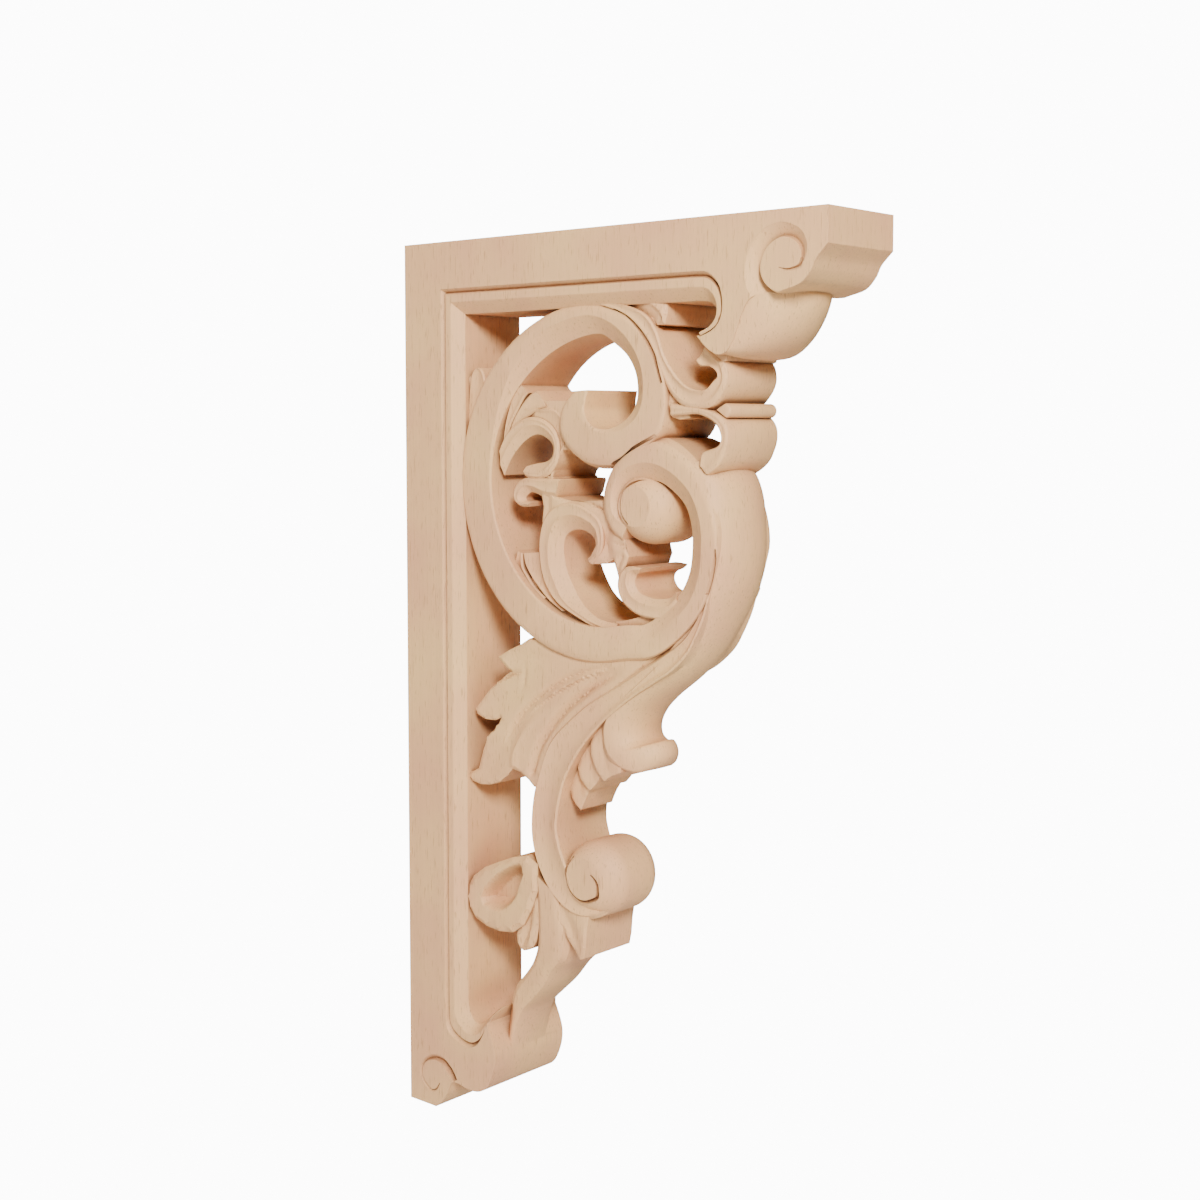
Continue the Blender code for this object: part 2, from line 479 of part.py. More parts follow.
def main():
    for thing in list(bpy.data.objects):
        bpy.data.objects.remove(thing)
    global PIECES, CUTTERS
    home = bpy.data.collections.new("corbel_bracket")
    PIECES = bpy.data.collections.new("carved_forms")
    CUTTERS = bpy.data.collections.new("cutters")
    for group in (home, PIECES, CUTTERS):
        bpy.context.scene.collection.children.link(group)

    frame()
    ring_scroll()
    s_scroll()
    stem()
    fringe()
    acanthus()
    inner_hooks()
    front_edge()
    foot_carving()
    volutes()
    CUTTERS.hide_render = True
    for cutter in CUTTERS.objects:
        cutter.hide_render = True
        cutter.display_type = "WIRE"

    base = PIECES.objects["frame_board"]
    PIECES.objects.unlink(base)
    base.name = "corbel_bracket"
    home.objects.link(base)
    join = base.modifiers.new("join the carving", "BOOLEAN")
    join.operation = "UNION"
    join.solver = "MANIFOLD"
    join.operand_type = "COLLECTION"
    join.collection = PIECES
    cut = base.modifiers.new("sink the volutes", "BOOLEAN")
    cut.operation = "DIFFERENCE"
    cut.solver = "MANIFOLD"
    cut.operand_type = "COLLECTION"
    cut.collection = CUTTERS
    bpy.context.view_layer.update()
    solid = bpy.data.meshes.new_from_object(
        base.evaluated_get(bpy.context.evaluated_depsgraph_get()))
    base.modifiers.clear()
    base.data = solid
    for form in list(PIECES.objects):
        bpy.data.objects.remove(form)
    bpy.data.collections.remove(PIECES)

    bm = bmesh.new()
    bm.from_mesh(solid)
    bmesh.ops.dissolve_limit(bm, angle_limit=math.radians(4.0), verts=bm.verts[:],
                             edges=bm.edges[:], delimit={"NORMAL"})
    bmesh.ops.triangulate(bm, faces=bm.faces[:])
    bm.to_mesh(solid)
    bm.free()
    solid.transform(mathutils.Matrix.Translation((0.0, 0.0, -HEIGHT / 2 * MM)))
    solid.name = "corbel_bracket"
    solid.shade_smooth()
    solid.set_sharp_from_angle(angle=math.radians(32))

    beech = bpy.data.materials.new("raw_beech")
    beech.use_nodes = True
    shader = beech.node_tree.nodes["Principled BSDF"]
    shader.inputs["Base Color"].default_value = (0.70, 0.49, 0.34, 1.0)
    shader.inputs["Roughness"].default_value = 0.6
    shader.inputs["Metallic"].default_value = 0.0
    solid.materials.clear()
    solid.materials.append(beech)
    print("triangles", sum(len(face.vertices) - 2 for face in solid.polygons))


main()
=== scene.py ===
import math
import bmesh
import bpy
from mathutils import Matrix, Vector, geometry


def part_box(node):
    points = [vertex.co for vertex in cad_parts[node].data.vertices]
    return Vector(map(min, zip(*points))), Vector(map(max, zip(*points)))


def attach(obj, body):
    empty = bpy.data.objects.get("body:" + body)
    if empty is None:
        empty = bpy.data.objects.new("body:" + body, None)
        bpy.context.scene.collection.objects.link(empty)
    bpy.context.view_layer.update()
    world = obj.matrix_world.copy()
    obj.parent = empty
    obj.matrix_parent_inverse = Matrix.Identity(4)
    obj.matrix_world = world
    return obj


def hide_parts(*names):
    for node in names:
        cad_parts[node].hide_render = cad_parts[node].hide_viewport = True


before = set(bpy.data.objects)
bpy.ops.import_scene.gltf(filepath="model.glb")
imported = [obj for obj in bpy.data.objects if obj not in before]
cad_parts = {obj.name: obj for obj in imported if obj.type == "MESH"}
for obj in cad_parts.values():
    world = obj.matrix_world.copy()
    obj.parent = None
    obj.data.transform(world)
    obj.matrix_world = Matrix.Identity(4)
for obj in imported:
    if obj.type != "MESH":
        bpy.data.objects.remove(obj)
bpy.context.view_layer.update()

# The bracket's real sizes come from the frame; every place below is in millimetres on the
# carver's pattern: x out of the wall, z up from the bottom, depth below the visible face.
nodeLow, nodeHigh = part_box("corbel_bracket")
mm = 0.001
pattern = {
    "width": 228.0,
    "height": 394.0,
    "spanSteps": 5,          # lofted steps between two rows
    "lap": 0.11,             # joined edges pass each other by this, so none coincide
}
half = (nodeHigh.y - nodeLow.y) / mm / 2
stretchX = (nodeHigh.x - nodeLow.x) / mm / pattern["width"]
stretchZ = (nodeHigh.z - nodeLow.z) / mm / pattern["height"]
forms = []                   # bodies to be joined
hollows = []                 # bodies to be cut away


def spot(x, y, z):
    # a point of the pattern as a place in the frame, in metres
    return Vector((nodeLow.x + x * stretchX * mm, y * mm, nodeLow.z + z * stretchZ * mm))


def arc(centre, radius, start, end, count):
    turns = [math.radians(start + (end - start) * i / (count - 1)) for i in range(count)]
    return [(centre[0] + radius * math.cos(a), centre[1] + radius * math.sin(a)) for a in turns]


def flow(rows, steps=pattern["spanSteps"]):
    # a smooth run through rows of numbers
    out = []
    for i in range(len(rows) - 1):
        a, b = rows[i], rows[i + 1]
        before = rows[i - 1] if i else [2 * p - q for p, q in zip(a, b)]
        after = rows[i + 2] if i + 2 < len(rows) else [2 * q - p for p, q in zip(a, b)]
        for k in range(steps):
            t = k / steps
            out.append([
                0.5 * (2 * p1 + (p2 - p0) * t + (2 * p0 - 5 * p1 + 4 * p2 - p3) * t * t
                       + (3 * p1 - p0 - 3 * p2 + p3) * t ** 3)
                for p0, p1, p2, p3 in zip(before, a, b, after)])
    return out + [list(rows[-1])]


def pairs(rows):
    return [[*a, *b] for a, b in rows]


def keyed(value, t):
    # a number, or values spread evenly along 0 to 1
    if isinstance(value, (int, float)):
        return value
    at = t * (len(value) - 1)
    i = min(int(at), len(value) - 2)
    return value[i] + (value[i + 1] - value[i]) * (at - i)


def addBody(name, bm, group):
    # what was built becomes an object among the forms or the hollows
    bmesh.ops.recalc_face_normals(bm, faces=bm.faces[:])
    mesh = bpy.data.meshes.new(name)
    bm.to_mesh(mesh)
    bm.free()
    body = bpy.data.objects.new(name, mesh)
    bpy.context.scene.collection.objects.link(body)
    group.append(body)


def loft(name, rings, group=forms):
    # one closed body through rings of (x, y, z) pattern points
    bm = bmesh.new()
    grid = [[bm.verts.new(spot(x, y, z)) for x, y, z in ring] for ring in rings]
    count = len(rings[0])
    for low, high in zip(grid, grid[1:]):
        for i in range(count):
            j = (i + 1) % count
            bm.faces.new((low[i], low[j], high[j], high[i]))
    for ring in (grid[0], grid[-1]):
        for corners in geometry.tessellate_polygon([[v.co for v in ring]]):
            bm.faces.new([ring[i] for i in corners])
    bmesh.ops.triangulate(bm, faces=bm.faces[:])
    addBody(name, bm, group)


def span(row):
    ax, az, bx, bz = row
    return max(math.hypot(bx - ax, bz - az), 0.2)


def ringOver(row, profile):
    # a profile of (distance, depth) laid across a row, on the near face and back on the far one
    ax, az, bx, bz = row
    width = span(row)
    ux, uz = (bx - ax) / width, (bz - az) / width
    section = [(s, d - half) for s, d in profile] + [(s, half - d) for s, d in reversed(profile)]
    return [(ax + ux * s, y, az + uz * s) for s, y in section]


# How a strap's edges slope: the most of its width that each slope takes, the points along a
# slope and along the face between them, and the width, drop and form of a plain edge
strapSizes = {
    "shares": {"left": 0.42, "right": 0.56}, "slopePoints": 4, "facePoints": 7,
    "plain": (0.8, 0.7, "flat"), "dishWidth": 8.0,
}


def slope(width, drop, form):
    # (distance in from the edge, extra depth) from the edge to the arris
    points = []
    for i in range(strapSizes["slopePoints"]):
        u = i / strapSizes["slopePoints"]
        fall = 1 - math.sqrt(1 - (1 - u) ** 2) if form == "round" else 1 - u
        points.append((width * u, drop * fall))
    return points


def strap(name, edges, sizes):
    # a carved strap between a left and a right edge, the same on both faces
    rows = flow(pairs(edges))
    rings = []
    for number, row in enumerate(rows):
        t = number / (len(rows) - 1)
        width, face = span(row), keyed(sizes["face"], t)
        reaches, slopes = [], []
        for side, most in strapSizes["shares"].items():
            reach, drop, form = sizes.get(side, strapSizes["plain"])
            reach = keyed(reach, t)
            reaches.append(min(reach, most * width))
            slopes.append(slope(reaches[-1], keyed(drop, t) * reaches[-1] / max(reach, 0.01), form))
        dish = keyed(sizes.get("dish", 0.0), t) * min(1.0, width / strapSizes["dishWidth"])
        flat = width - sum(reaches)
        profile = [(s, face + d) for s, d in slopes[0]]
        for i in range(strapSizes["facePoints"]):
            u = i / (strapSizes["facePoints"] - 1)
            profile.append((reaches[0] + flat * u, face + dish * 4 * u * (1 - u)))
        profile += [(width - s, face + d) for s, d in reversed(slopes[1])]
        rings.append(ringOver(row, profile))
    loft(name, rings)


def bothSides(levels):
    # the levels from the near face to the middle, then from the middle to the far face
    return [(-1, *level) for level in levels] + [(1, *level) for level in reversed(levels)]


def barrel(name, faceOutline, waistOutline, sizes):
    # a body through the thickness whose outline swells from its faces to its waist
    layers = sizes.get("layers", 9)
    first = math.radians(sizes.get("arris", 0))      # how steeply it leaves the face
    levels = []
    for i in range(layers + 1):
        turn = first + (math.pi / 2 - first) * i / layers
        levels.append(((math.sin(turn) - math.sin(first)) / (1 - math.sin(first)),
                       sizes["shoulder"] * (1 - math.cos(turn) / math.cos(first))))
    rings = []
    for side, share, drop in bothSides(levels):
        y = side * max(half - sizes["face"] - drop, 0.3)
        rings.append([(fx + (wx - fx) * share, y, fz + (wz - fz) * share)
                      for (fx, fz), (wx, wz) in zip(faceOutline, waistOutline)])
    loft(name, rings)


def roundBarrel(name, sizes):
    # a barrel between a round disc on each face and a wider round waist
    disc, waist = [arc(*sizes[key], 0, 352.5, 48) for key in ("disc", "waist")]
    barrel(name, disc, waist, sizes)


def inset(outline, reach):
    # the outline moved inwards, for one that turns anticlockwise
    moved = []
    for i, (x, z) in enumerate(outline):
        (px, pz), (nx, nz) = outline[i - 1], outline[(i + 1) % len(outline)]
        dx, dz = nx - px, nz - pz
        size = math.hypot(dx, dz) or 1.0
        moved.append((x - dz / size * reach, z + dx / size * reach))
    return moved


def board(name, outline, face):
    # a flat board of any outline through the thickness, drawn as a filled 2D curve
    curve = bpy.data.curves.new(name, "CURVE")
    curve.dimensions = "2D"
    curve.fill_mode = "BOTH"
    curve.extrude = (half - face) * mm
    spline = curve.splines.new("POLY")
    spline.points.add(len(outline) - 1)
    for point, (x, z) in zip(spline.points, outline):
        at = spot(x, 0.0, z)
        point.co = (at.x, at.z, 0.0, 1.0)
    spline.use_cyclic_u = True
    drawn = bpy.data.objects.new(name, curve)
    drawn.rotation_euler = (math.radians(90), 0.0, 0.0)
    bpy.context.scene.collection.objects.link(drawn)
    bpy.context.view_layer.update()
    mesh = bpy.data.meshes.new_from_object(drawn.evaluated_get(bpy.context.evaluated_depsgraph_get()))
    mesh.transform(drawn.matrix_world)
    bpy.data.objects.remove(drawn)
    bm = bmesh.new()
    bm.from_mesh(mesh)
    bmesh.ops.remove_doubles(bm, verts=bm.verts[:], dist=0.01 * mm)
    addBody(name, bm, forms)


def slab(name, outline, face, edge):
    # a board through the thickness, its arrises rounded
    turns = [math.radians(30 * i) for i in range(4)]
    levels = [(edge * (1 - math.sin(turn)), edge * (1 - math.cos(turn))) for turn in turns]
    loft(name, [[(x, side * (half - face - drop), z) for x, z in inset(outline, reach)]
                for side, reach, drop in bothSides(levels)])


def trench(name, rows, profile, face=0.0, lean=0.15):
    # a trench along rows of (outer edge, inner edge), cut into both faces
    above, overlap = 1.5, 0.03   # the cutter stands above the face, its lips just under it
    for side in (-1, 1):
        rings = []
        for number, (ax, az, bx, bz) in enumerate(rows):
            t = number / (len(rows) - 1)
            top, deep = keyed(face, t), keyed(profile, t)
            high, lip = side * (half - top + above), side * (half - top - overlap)
            bottom = (bx + (ax - bx) * lean, side * (half - top - deep), bz + (az - bz) * lean)
            rings.append([(ax, high, az), (ax, lip, az), bottom, (bx, lip, bz), (bx, high, bz)])
        loft(name, rings, hollows)


def groove(name, line, width, profile, face=0.0):
    # a V-shaped cut along a line, its steep side on the right
    line = flow(line, 3)
    rows = []
    for i, (x, z) in enumerate(line):
        back, ahead = line[max(i - 1, 0)], line[min(i + 1, len(line) - 1)]
        dx, dz = ahead[0] - back[0], ahead[1] - back[1]
        reach = keyed(width, i / (len(line) - 1)) / 2 / math.hypot(dx, dz)
        rows.append([x - dz * reach, z + dx * reach, x + dz * reach, z - dx * reach])
    trench(name, rows, profile, face, lean=0.3)


def nearest(line, x, z):
    # how far a point lies from a line, on which side (left is +1) and how far along, 0 to 1
    best = (1e9, 1.0, 0.0)
    for i, ((ax, az), (bx, bz)) in enumerate(zip(line, line[1:])):
        dx, dz = bx - ax, bz - az
        t = min(1.0, max(0.0, ((x - ax) * dx + (z - az) * dz) / (dx * dx + dz * dz)))
        gap = math.hypot(x - ax - dx * t, z - az - dz * t)
        if gap < best[0]:
            best = (gap, math.copysign(1.0, dx * (z - az) - dz * (x - ax)), (i + t) / (len(line) - 1))
    return best


def inside(outline, x, z):
    crossings = 0
    for (ax, az), (bx, bz) in zip(outline, outline[1:] + outline[:1]):
        if (az > z) != (bz > z) and x < ax + (z - az) * (bx - ax) / (bz - az):
            crossings += 1
    return crossings % 2 == 1


def relief(name, outline, sizes):
    # a board through the thickness whose face is carved: cuts are (line, depth, reach to the left,
    # reach to the right, power), bowls are (outline, depth, reach); a negative depth raises
    gap = sizes.get("spacing", 1.3)
    edge, fall = sizes.get("edge", (0.8, 0.6))
    cuts = [(flow(line, 3), *rest) for line, *rest in sizes.get("cuts", [])]
    bowls = [(flow(line + line[:1], 3)[:-1], *rest) for line, *rest in sizes.get("bowls", [])]
    closed = outline + outline[:1]
    points = list(outline)
    seams = [(i, (i + 1) % len(outline)) for i in range(len(outline))]

    def fits(x, z, room):
        return inside(outline, x, z) and nearest(closed, x, z)[0] > room

    for line, *rest in cuts:
        points += [(x, z) for x, z in line if fits(x, z, edge * 0.5)]
    points += [(x, z) for x, z in inset(outline, edge) + inset(outline, -edge) if fits(x, z, edge * 0.8)]
    across, up = zip(*outline)
    for row in range(int((max(up) - min(up)) / gap) + 1):
        for column in range(int((max(across) - min(across)) / gap) + 1):
            x = min(across) + (column + 0.5 * (row % 2)) * gap
            z = min(up) + row * gap
            if fits(x, z, max(edge, 0.5) * 1.3):
                points.append((x, z))
    places, _, cells = geometry.delaunay_2d_cdt([Vector(p) for p in points], seams, [], 1, 0.02)[:3]

    def depthAt(x, z):
        depth = sizes["face"]
        rim = nearest(closed, x, z)[0]
        if rim < edge:
            depth += fall * (1 - rim / edge)
        for line, deep, left, right, power in cuts:
            away, side, t = nearest(line, x, z)
            reach = left if side > 0 else right
            if away < reach:
                depth += keyed(deep, t) * (1 - away / reach) ** power
        for line, deep, reach in bowls:
            if inside(line, x, z):
                u = min(1.0, nearest(line + line[:1], x, z)[0] / reach)
                depth += deep * u * u * (3 - 2 * u)
        return depth

    bm = bmesh.new()
    front, back = [], []
    for x, z in places:
        y = half - max(depthAt(x, z), 0.05)
        front.append(bm.verts.new(spot(x, -y, z)))
        back.append(bm.verts.new(spot(x, y, z)))
    uses = {}
    for cell in cells:
        bm.faces.new([front[i] for i in cell])
        bm.faces.new([back[i] for i in reversed(cell)])
        for a, b in zip(cell, cell[1:] + cell[:1]):
            side = (min(a, b), max(a, b))
            uses[side] = uses.get(side, 0) + 1
    for (a, b), times in uses.items():
        if times == 1:
            bm.faces.new((front[a], front[b], back[b], back[a]))
    loose = [v for v in bm.verts if not v.link_faces]
    bmesh.ops.delete(bm, geom=loose, context="VERTS")
    bmesh.ops.triangulate(bm, faces=bm.faces[:])
    addBody(name, bm, forms)


# Stile, rail, foot and end block at full thickness
frameSizes = {
    "stileQuirk": 24.8, "stileWall": 33.5, "railQuirk": 371.5, "railWall": 362.0,
    "lapWidth": 1.6, "lapDepth": 1.25, "edgeDepth": 0.9,         # under the board, and at its edge
    "filletStart": 0.88, "filletDepth": 0.75, "filletFall": 0.1, "filletShare": 0.40,
    "chamferDepth": 5.0, "chamferCurve": 1.08, "chamferSteps": 6,
    "quirkDepth": 2.3, "quirkOut": 0.17, "quirkIn": 0.12, "quirkLean": 0.42,     # the V line round it
}
bellySizes = {"face": 0.08, "shoulder": half - 0.38, "layers": 16}


def frameRows():
    low = flow(pairs([
        ((50.5, 47), (55, 54)), ((47.5, 41.5), (49.5, 49.8)), ((43.5, 36.5), (44.5, 45)),
        ((38, 34.4), (39.5, 43)), ((31, 36), (35.6, 45.5)), ((25.8, 40), (33.7, 50.5)),
        ((24.8, 48), (33.5, 58))]))
    corner = pairs([((frameSizes["stileQuirk"], frameSizes["railQuirk"]),
                     (frameSizes["stileWall"], frameSizes["railWall"]))])
    lip = flow(pairs([
        ((165, 371.5), (165, 362)), ((172, 370.8), (170, 361.3)), ((177, 366.5), (172.5, 359.5)),
        ((178.8, 360.5), (173.8, 357.5)), ((178, 354.5), (173.3, 354.8)),
        ((174.5, 350.5), (170.5, 352)), ((168.5, 348), (167.3, 350.3))]))
    return low + corner + lip


def makeFrame():
    rows = frameRows()
    foot = flow([(17, 0), (21, 3.4), (24.4, 8), (26, 12), (28.6, 14.4), (33, 14.2), (38, 13.4),
                 (44, 13.8), (48.8, 16.2), (52.2, 21), (54.6, 28), (54.8, 34), (53, 39.6), (50.5, 45)], 4)
    belly = flow([(167.3, 348), (170.3, 344.8), (174, 342), (177.6, 340.6), (180.8, 341.2), (183.4, 343.6),
                  (185.4, 347.2), (187.2, 351.6), (189.4, 356.6), (192.4, 361), (197.6, 363.8)], 4)
    fascia = flow([(199, 363.8), (204, 363), (209, 364), (216, 366), (220.5, 370.4), (223, 375),
                   (227.5, 379.5)], 4)
    lap = pattern["lap"]
    grooveLine = [(row[0] + lap, row[1] + lap) for row in rows]
    outline = ([(0, 0)] + foot + grooveLine + belly + fascia
               + [(pattern["width"], 380), (pattern["width"], pattern["height"]),
                  (0, pattern["height"])])
    board("frameBoard", outline, 0.0)

    size = frameSizes
    rings = []
    for row in rows:
        start, deep = size["filletStart"], size["filletDepth"]
        stop = start + (span(row) - start) * size["filletShare"]
        profile = [(-size["lapWidth"], size["lapDepth"]), (0.0, size["edgeDepth"]), (start, deep),
                   (stop, deep + size["filletFall"])]
        for i in range(1, size["chamferSteps"] + 1):
            u = i / size["chamferSteps"]
            profile.append((stop + (span(row) - stop) * u, deep + size["filletFall"]
                            + (size["chamferDepth"] - deep) * u ** size["chamferCurve"]))
        rings.append(ringOver(row, profile))
    loft("moulding", rings)
    out, within = size["quirkOut"], size["quirkIn"]
    trench("quirk", [[ax - (bx - ax) * out, az - (bz - az) * out, ax + (bx - ax) * within,
                      az + (bz - az) * within] for ax, az, bx, bz in rows],
           size["quirkDepth"], lean=size["quirkLean"])

    # the round belly under the end block swells from the faces to its waist
    rim = flow([(173.4, 344.6), (175.8, 343), (178.2, 342.4), (180.4, 343.4), (182, 345.8),
                (183.6, 349.8), (185.4, 355), (188.4, 361), (193, 366), (199, 368.4), (197, 373),
                (183, 374), (179, 358)], 3)
    waist = flow([(172.6, 343.2), (177.6, 339.8), (184, 338.6), (190.6, 339.8), (196.8, 343),
                  (202.6, 347.8), (207, 353.6), (209.6, 359.4), (210, 365), (207, 369.4), (200, 373.6),
                  (183, 375), (179, 358)], 3)
    barrel("belly", rim, waist, bellySizes)


# The scroll: it winds out of the eye, runs down the right, round the ring and hooks into itself.
# Each list runs from the eye to the hook; left is the outer edge and right the inner one.
scrollSizes = {
    "outerCentre": (107.5, 288.9), "outerRadius": 75.8, "innerCentre": (111.2, 290.0),
    "innerRadius": 61.2, "start": 285, "end": 92,
    "face": [6.0, 5.2, 4.6, 4.4, 4.2] + [4.0] * 30 + [4.6, 5.2, 5.6, 6.0],
    "left": ([3.0, 4.0, 4.4, 4.6, 5.0, 7.0, 7.0, 6.0, 5.0, 3.0, 1.2, 0.8, 0.8, 0.8, 1.5,
              6.0, 5.0, 4.0, 3.0, 2.5, 2.0, 1.5, 1.5, 2.0, 3.0, 4.0, 4.5,
              4.0, 2.0, 1.2, 1.2, 3.0, 5.0, 6.0, 6.5, 4.5, 3.2, 3.0, 2.5],
             [5.0, 5.0, 4.5, 4.0, 4.0, 4.5, 4.5, 4.0, 3.5, 2.5, 1.0, 0.7, 0.7, 0.7, 1.0,
              3.0, 3.0, 3.0, 2.5, 2.0, 1.6, 1.2, 1.2, 2.0, 3.0, 3.0, 3.0,
              3.0, 1.6, 1.0, 1.0, 2.5, 3.5, 4.0, 4.0, 3.5, 3.0, 3.0, 2.5], "round"),
    "right": ([1.0, 2.5, 4.0, 5.0, 6.4, 7.0, 7.4, 7.8, 8.0, 8.2, 8.2, 8.2, 8.2, 7.6, 8.0,
               10.0, 8.0, 1.5, 0.8, 0.8, 0.8, 0.8, 1.5, 4.0, 8.0, 9.0, 9.0,
               8.0, 7.0, 6.5, 6.0, 5.0, 3.0, 1.5, 1.0, 1.0, 1.0, 1.0, 1.0],
              [1.0, 2.2, 3.4, 4.2, 4.6, 4.6, 4.6, 4.8, 5.0, 5.0, 5.0, 4.8, 4.4, 3.6, 2.6,
               1.6, 0.8, 0.6, 0.5, 0.5, 0.5, 0.6, 1.0, 2.4, 4.0, 5.0, 5.0,
               5.0, 4.6, 4.2, 4.0, 3.0, 1.5, 0.8, 0.5, 0.5, 0.5, 0.5, 0.5], "flat"),
}
eyeSizes = {"disc": ((131.6, 280), 8.3), "waist": ((133.2, 279.7), 15.6), "face": 4.6,
            "shoulder": 12.0, "arris": 34}


def makeScroll():
    size = scrollSizes
    winding = [
        ((123, 264.8), (127.5, 273)), ((117, 269), (125, 275)), ((113.3, 277.5), (123.4, 278)),
        ((114.2, 288), (123.8, 283)), ((120.5, 298.5), (127.5, 288)), ((132, 306), (134, 290.7)),
        ((146, 308), (142, 290.3)), ((159, 301.5), (149.6, 286.2)), ((168.5, 291), (155.4, 280.4)),
        ((173.5, 277), (158.2, 272.4)), ((174.3, 265.7), (158.6, 263.8)), ((172, 253.6), (157.4, 254.4)),
        ((166.9, 241), (153.4, 246)), ((157.6, 229.8), (145, 237.6)), ((143, 219.6), (136, 231.8))]
    outer = arc(size["outerCentre"], size["outerRadius"], size["start"], size["end"], 12)
    inner = arc(size["innerCentre"], size["innerRadius"], size["start"], size["end"], 12)
    bend = [
        ((125.5, 359.3), (118, 346.6)), ((136.5, 350.3), (125.3, 341)),
        ((144.3, 338.5), (129.8, 333.4)), ((148.3, 325), (130.6, 324.5)),
        ((146, 311), (128, 317.8)), ((135.5, 302.5), (122, 313)), ((121, 295.8), (115, 311.4)),
        ((107, 295.8), (109, 312.8)), ((96, 301), (105.2, 316)), ((89, 309.5), (103.4, 319.5)),
        ((89.6, 319.8), (103.8, 323.5)), ((96.4, 327.4), (105, 327.8))]
    strap("scroll", winding + list(zip(outer, inner)) + bend, size)
    roundBarrel("eye", eyeSizes)


# The stem falls from the S-scroll to the lower volute
stemSizes = {"face": [5.4] * 20 + [5.6, 7.0, 10.6, 15.0], "left": (2.0, 2.2, "flat"), "dish": 1.4}
voluteSizes = {"disc": ((102.6, 119.6), 9.6), "waist": ((104.8, 119.8), 16.2), "face": 5.6,
               "shoulder": 10.5, "arris": 30}
leafSizes = {"face": [5.4, 4.5, 4.4, 4.5, 5.0, 5.8, 6.2, 6.3, 6.3, 6.3, 6.5, 7.0, 8.0, 9.6, 11.6],
             "edge": 0.12, "corner": 0.92, "layers": 20}


def makeStem():
    strap("stem", [
        ((168.9, 258), (171, 252)), ((167, 250), (169, 244)), ((164, 240), (166.4, 236)),
        ((160.4, 233.6), (162.3, 227.7)), ((155.4, 228), (157.8, 220.6)), ((145, 220.8), (150, 213.6)),
        ((135, 214.5), (143, 209.3)), ((123.4, 207.4), (130, 201.3)), ((112.8, 201.5), (117.3, 192)),
        ((103.2, 195.7), (108.4, 183.9)), ((94, 188.5), (101.3, 176.1)), ((86, 181.5), (96, 168.5)),
        ((80.6, 174.2), (92, 161.5)), ((75.8, 162.8), (89.4, 153.7)), ((72.3, 152), (87.6, 145.5)),
        ((70.9, 140.5), (87.2, 138.8)), ((71.8, 130.5), (89, 132)), ((75.5, 120.5), (91, 127.2)),
        ((82, 111.2), (94, 121.5)), ((90.5, 104.9), (97.2, 114.2)), ((99.5, 102.4), (103, 111)),
        ((106.8, 103.2), (108, 111)), ((112, 106.2), (111.2, 112.4)), ((114.6, 110.6), (112, 114.6))],
          stemSizes)
    roundBarrel("lowerVolute", voluteSizes)

    # the S-scroll's back, round across the thickness, runs down into the curled leaf
    back = flow(pairs([
        ((158, 297), (166.6, 300.6)), ((163.6, 291.6), (172.6, 295)), ((166.8, 284), (176.8, 285)),
        ((168, 274), (178.2, 273.5)), ((168, 262), (178.6, 262)),
        ((165.6, 250), (176, 248.4)), ((161, 240.4), (170.8, 236.6)), ((154.2, 230), (164.6, 225.8)),
        ((146.6, 221), (157, 216)), ((137, 212), (147.6, 207.6)), ((126, 203), (137.4, 200)),
        ((117, 195), (130.6, 193.5)), ((112.6, 188), (127, 187)), ((112.2, 181), (127.4, 182.4)),
        ((113.4, 175.8), (131, 180.8)), ((115.4, 172.6), (134.7, 181.6)), ((118.2, 170.4), (137, 179)),
        ((121.6, 169.2), (137.3, 175.2)), ((125.2, 168.7), (135, 171.5)), ((128, 168.6), (131.4, 169.3))]))
    size = leafSizes
    rings = []
    for number, (ax, az, bx, bz) in enumerate(back):
        reach = half - keyed(size["face"], number / (len(back) - 1))
        ring = []
        for k in range(size["layers"] + 1):
            turn = math.radians(-90 + 180 * k / size["layers"])
            share = size["edge"] + (1 - size["edge"]) * math.cos(turn)
            ring.append((ax + (bx - ax) * share, reach * math.sin(turn), az + (bz - az) * share))
        rings.append(ring + [(ax, reach * size["corner"], az), (ax, -reach * size["corner"], az)])
    loft("curledLeaf", rings)


# Overlapping leaf tips down the right of the stem
fringeSizes = {"face": 8.5, "step": 1.7, "edge": (0.4, 0.3), "spacing": 1.0,
               "hollow": ([0.3, 0.9, 0.9, 0.4], 4.6, 5.0, 1.2)}


def makeFringe():
    tips = [
        ([(118, 194), (115.2, 192.3), (109.4, 187.1), (105.9, 183.1), (104.2, 178.6), (104.4, 173.9),
          (106.4, 168.9), (109, 165.6), (112, 163.2), (113.8, 164.6), (116, 166), (121, 168), (122, 178),
          (120, 188)],
         [(117, 189), (111.8, 181), (111.6, 173), (114.6, 167)]),
        ([(108, 184), (103.1, 180.6), (99, 176), (96.2, 171), (95.3, 166.8), (96.6, 162.6),
          (99.2, 159.6), (102.3, 157.6), (104.4, 159.6), (106.6, 162.2), (110, 166), (111, 172), (110, 179)],
         [(106, 179), (102.6, 172.6), (102.4, 167), (105, 161.6)]),
        ([(99.5, 175.5), (94.8, 171.4), (91.8, 167), (89.8, 161.6), (89, 156.8), (90.4, 152.6),
          (92.8, 149.8), (95.7, 148), (97.2, 151), (98.8, 154.2), (101.6, 158.4), (103, 164), (102.4, 171)],
         [(98.5, 171), (95.6, 164), (95.2, 158), (97, 152)])]
    for number, (outline, hollow) in enumerate(tips):
        relief(f"fringe{number + 1}", outline,
               dict(fringeSizes, face=fringeSizes["face"] + fringeSizes["step"] * number,
                    cuts=[(hollow, *fringeSizes["hollow"])]))


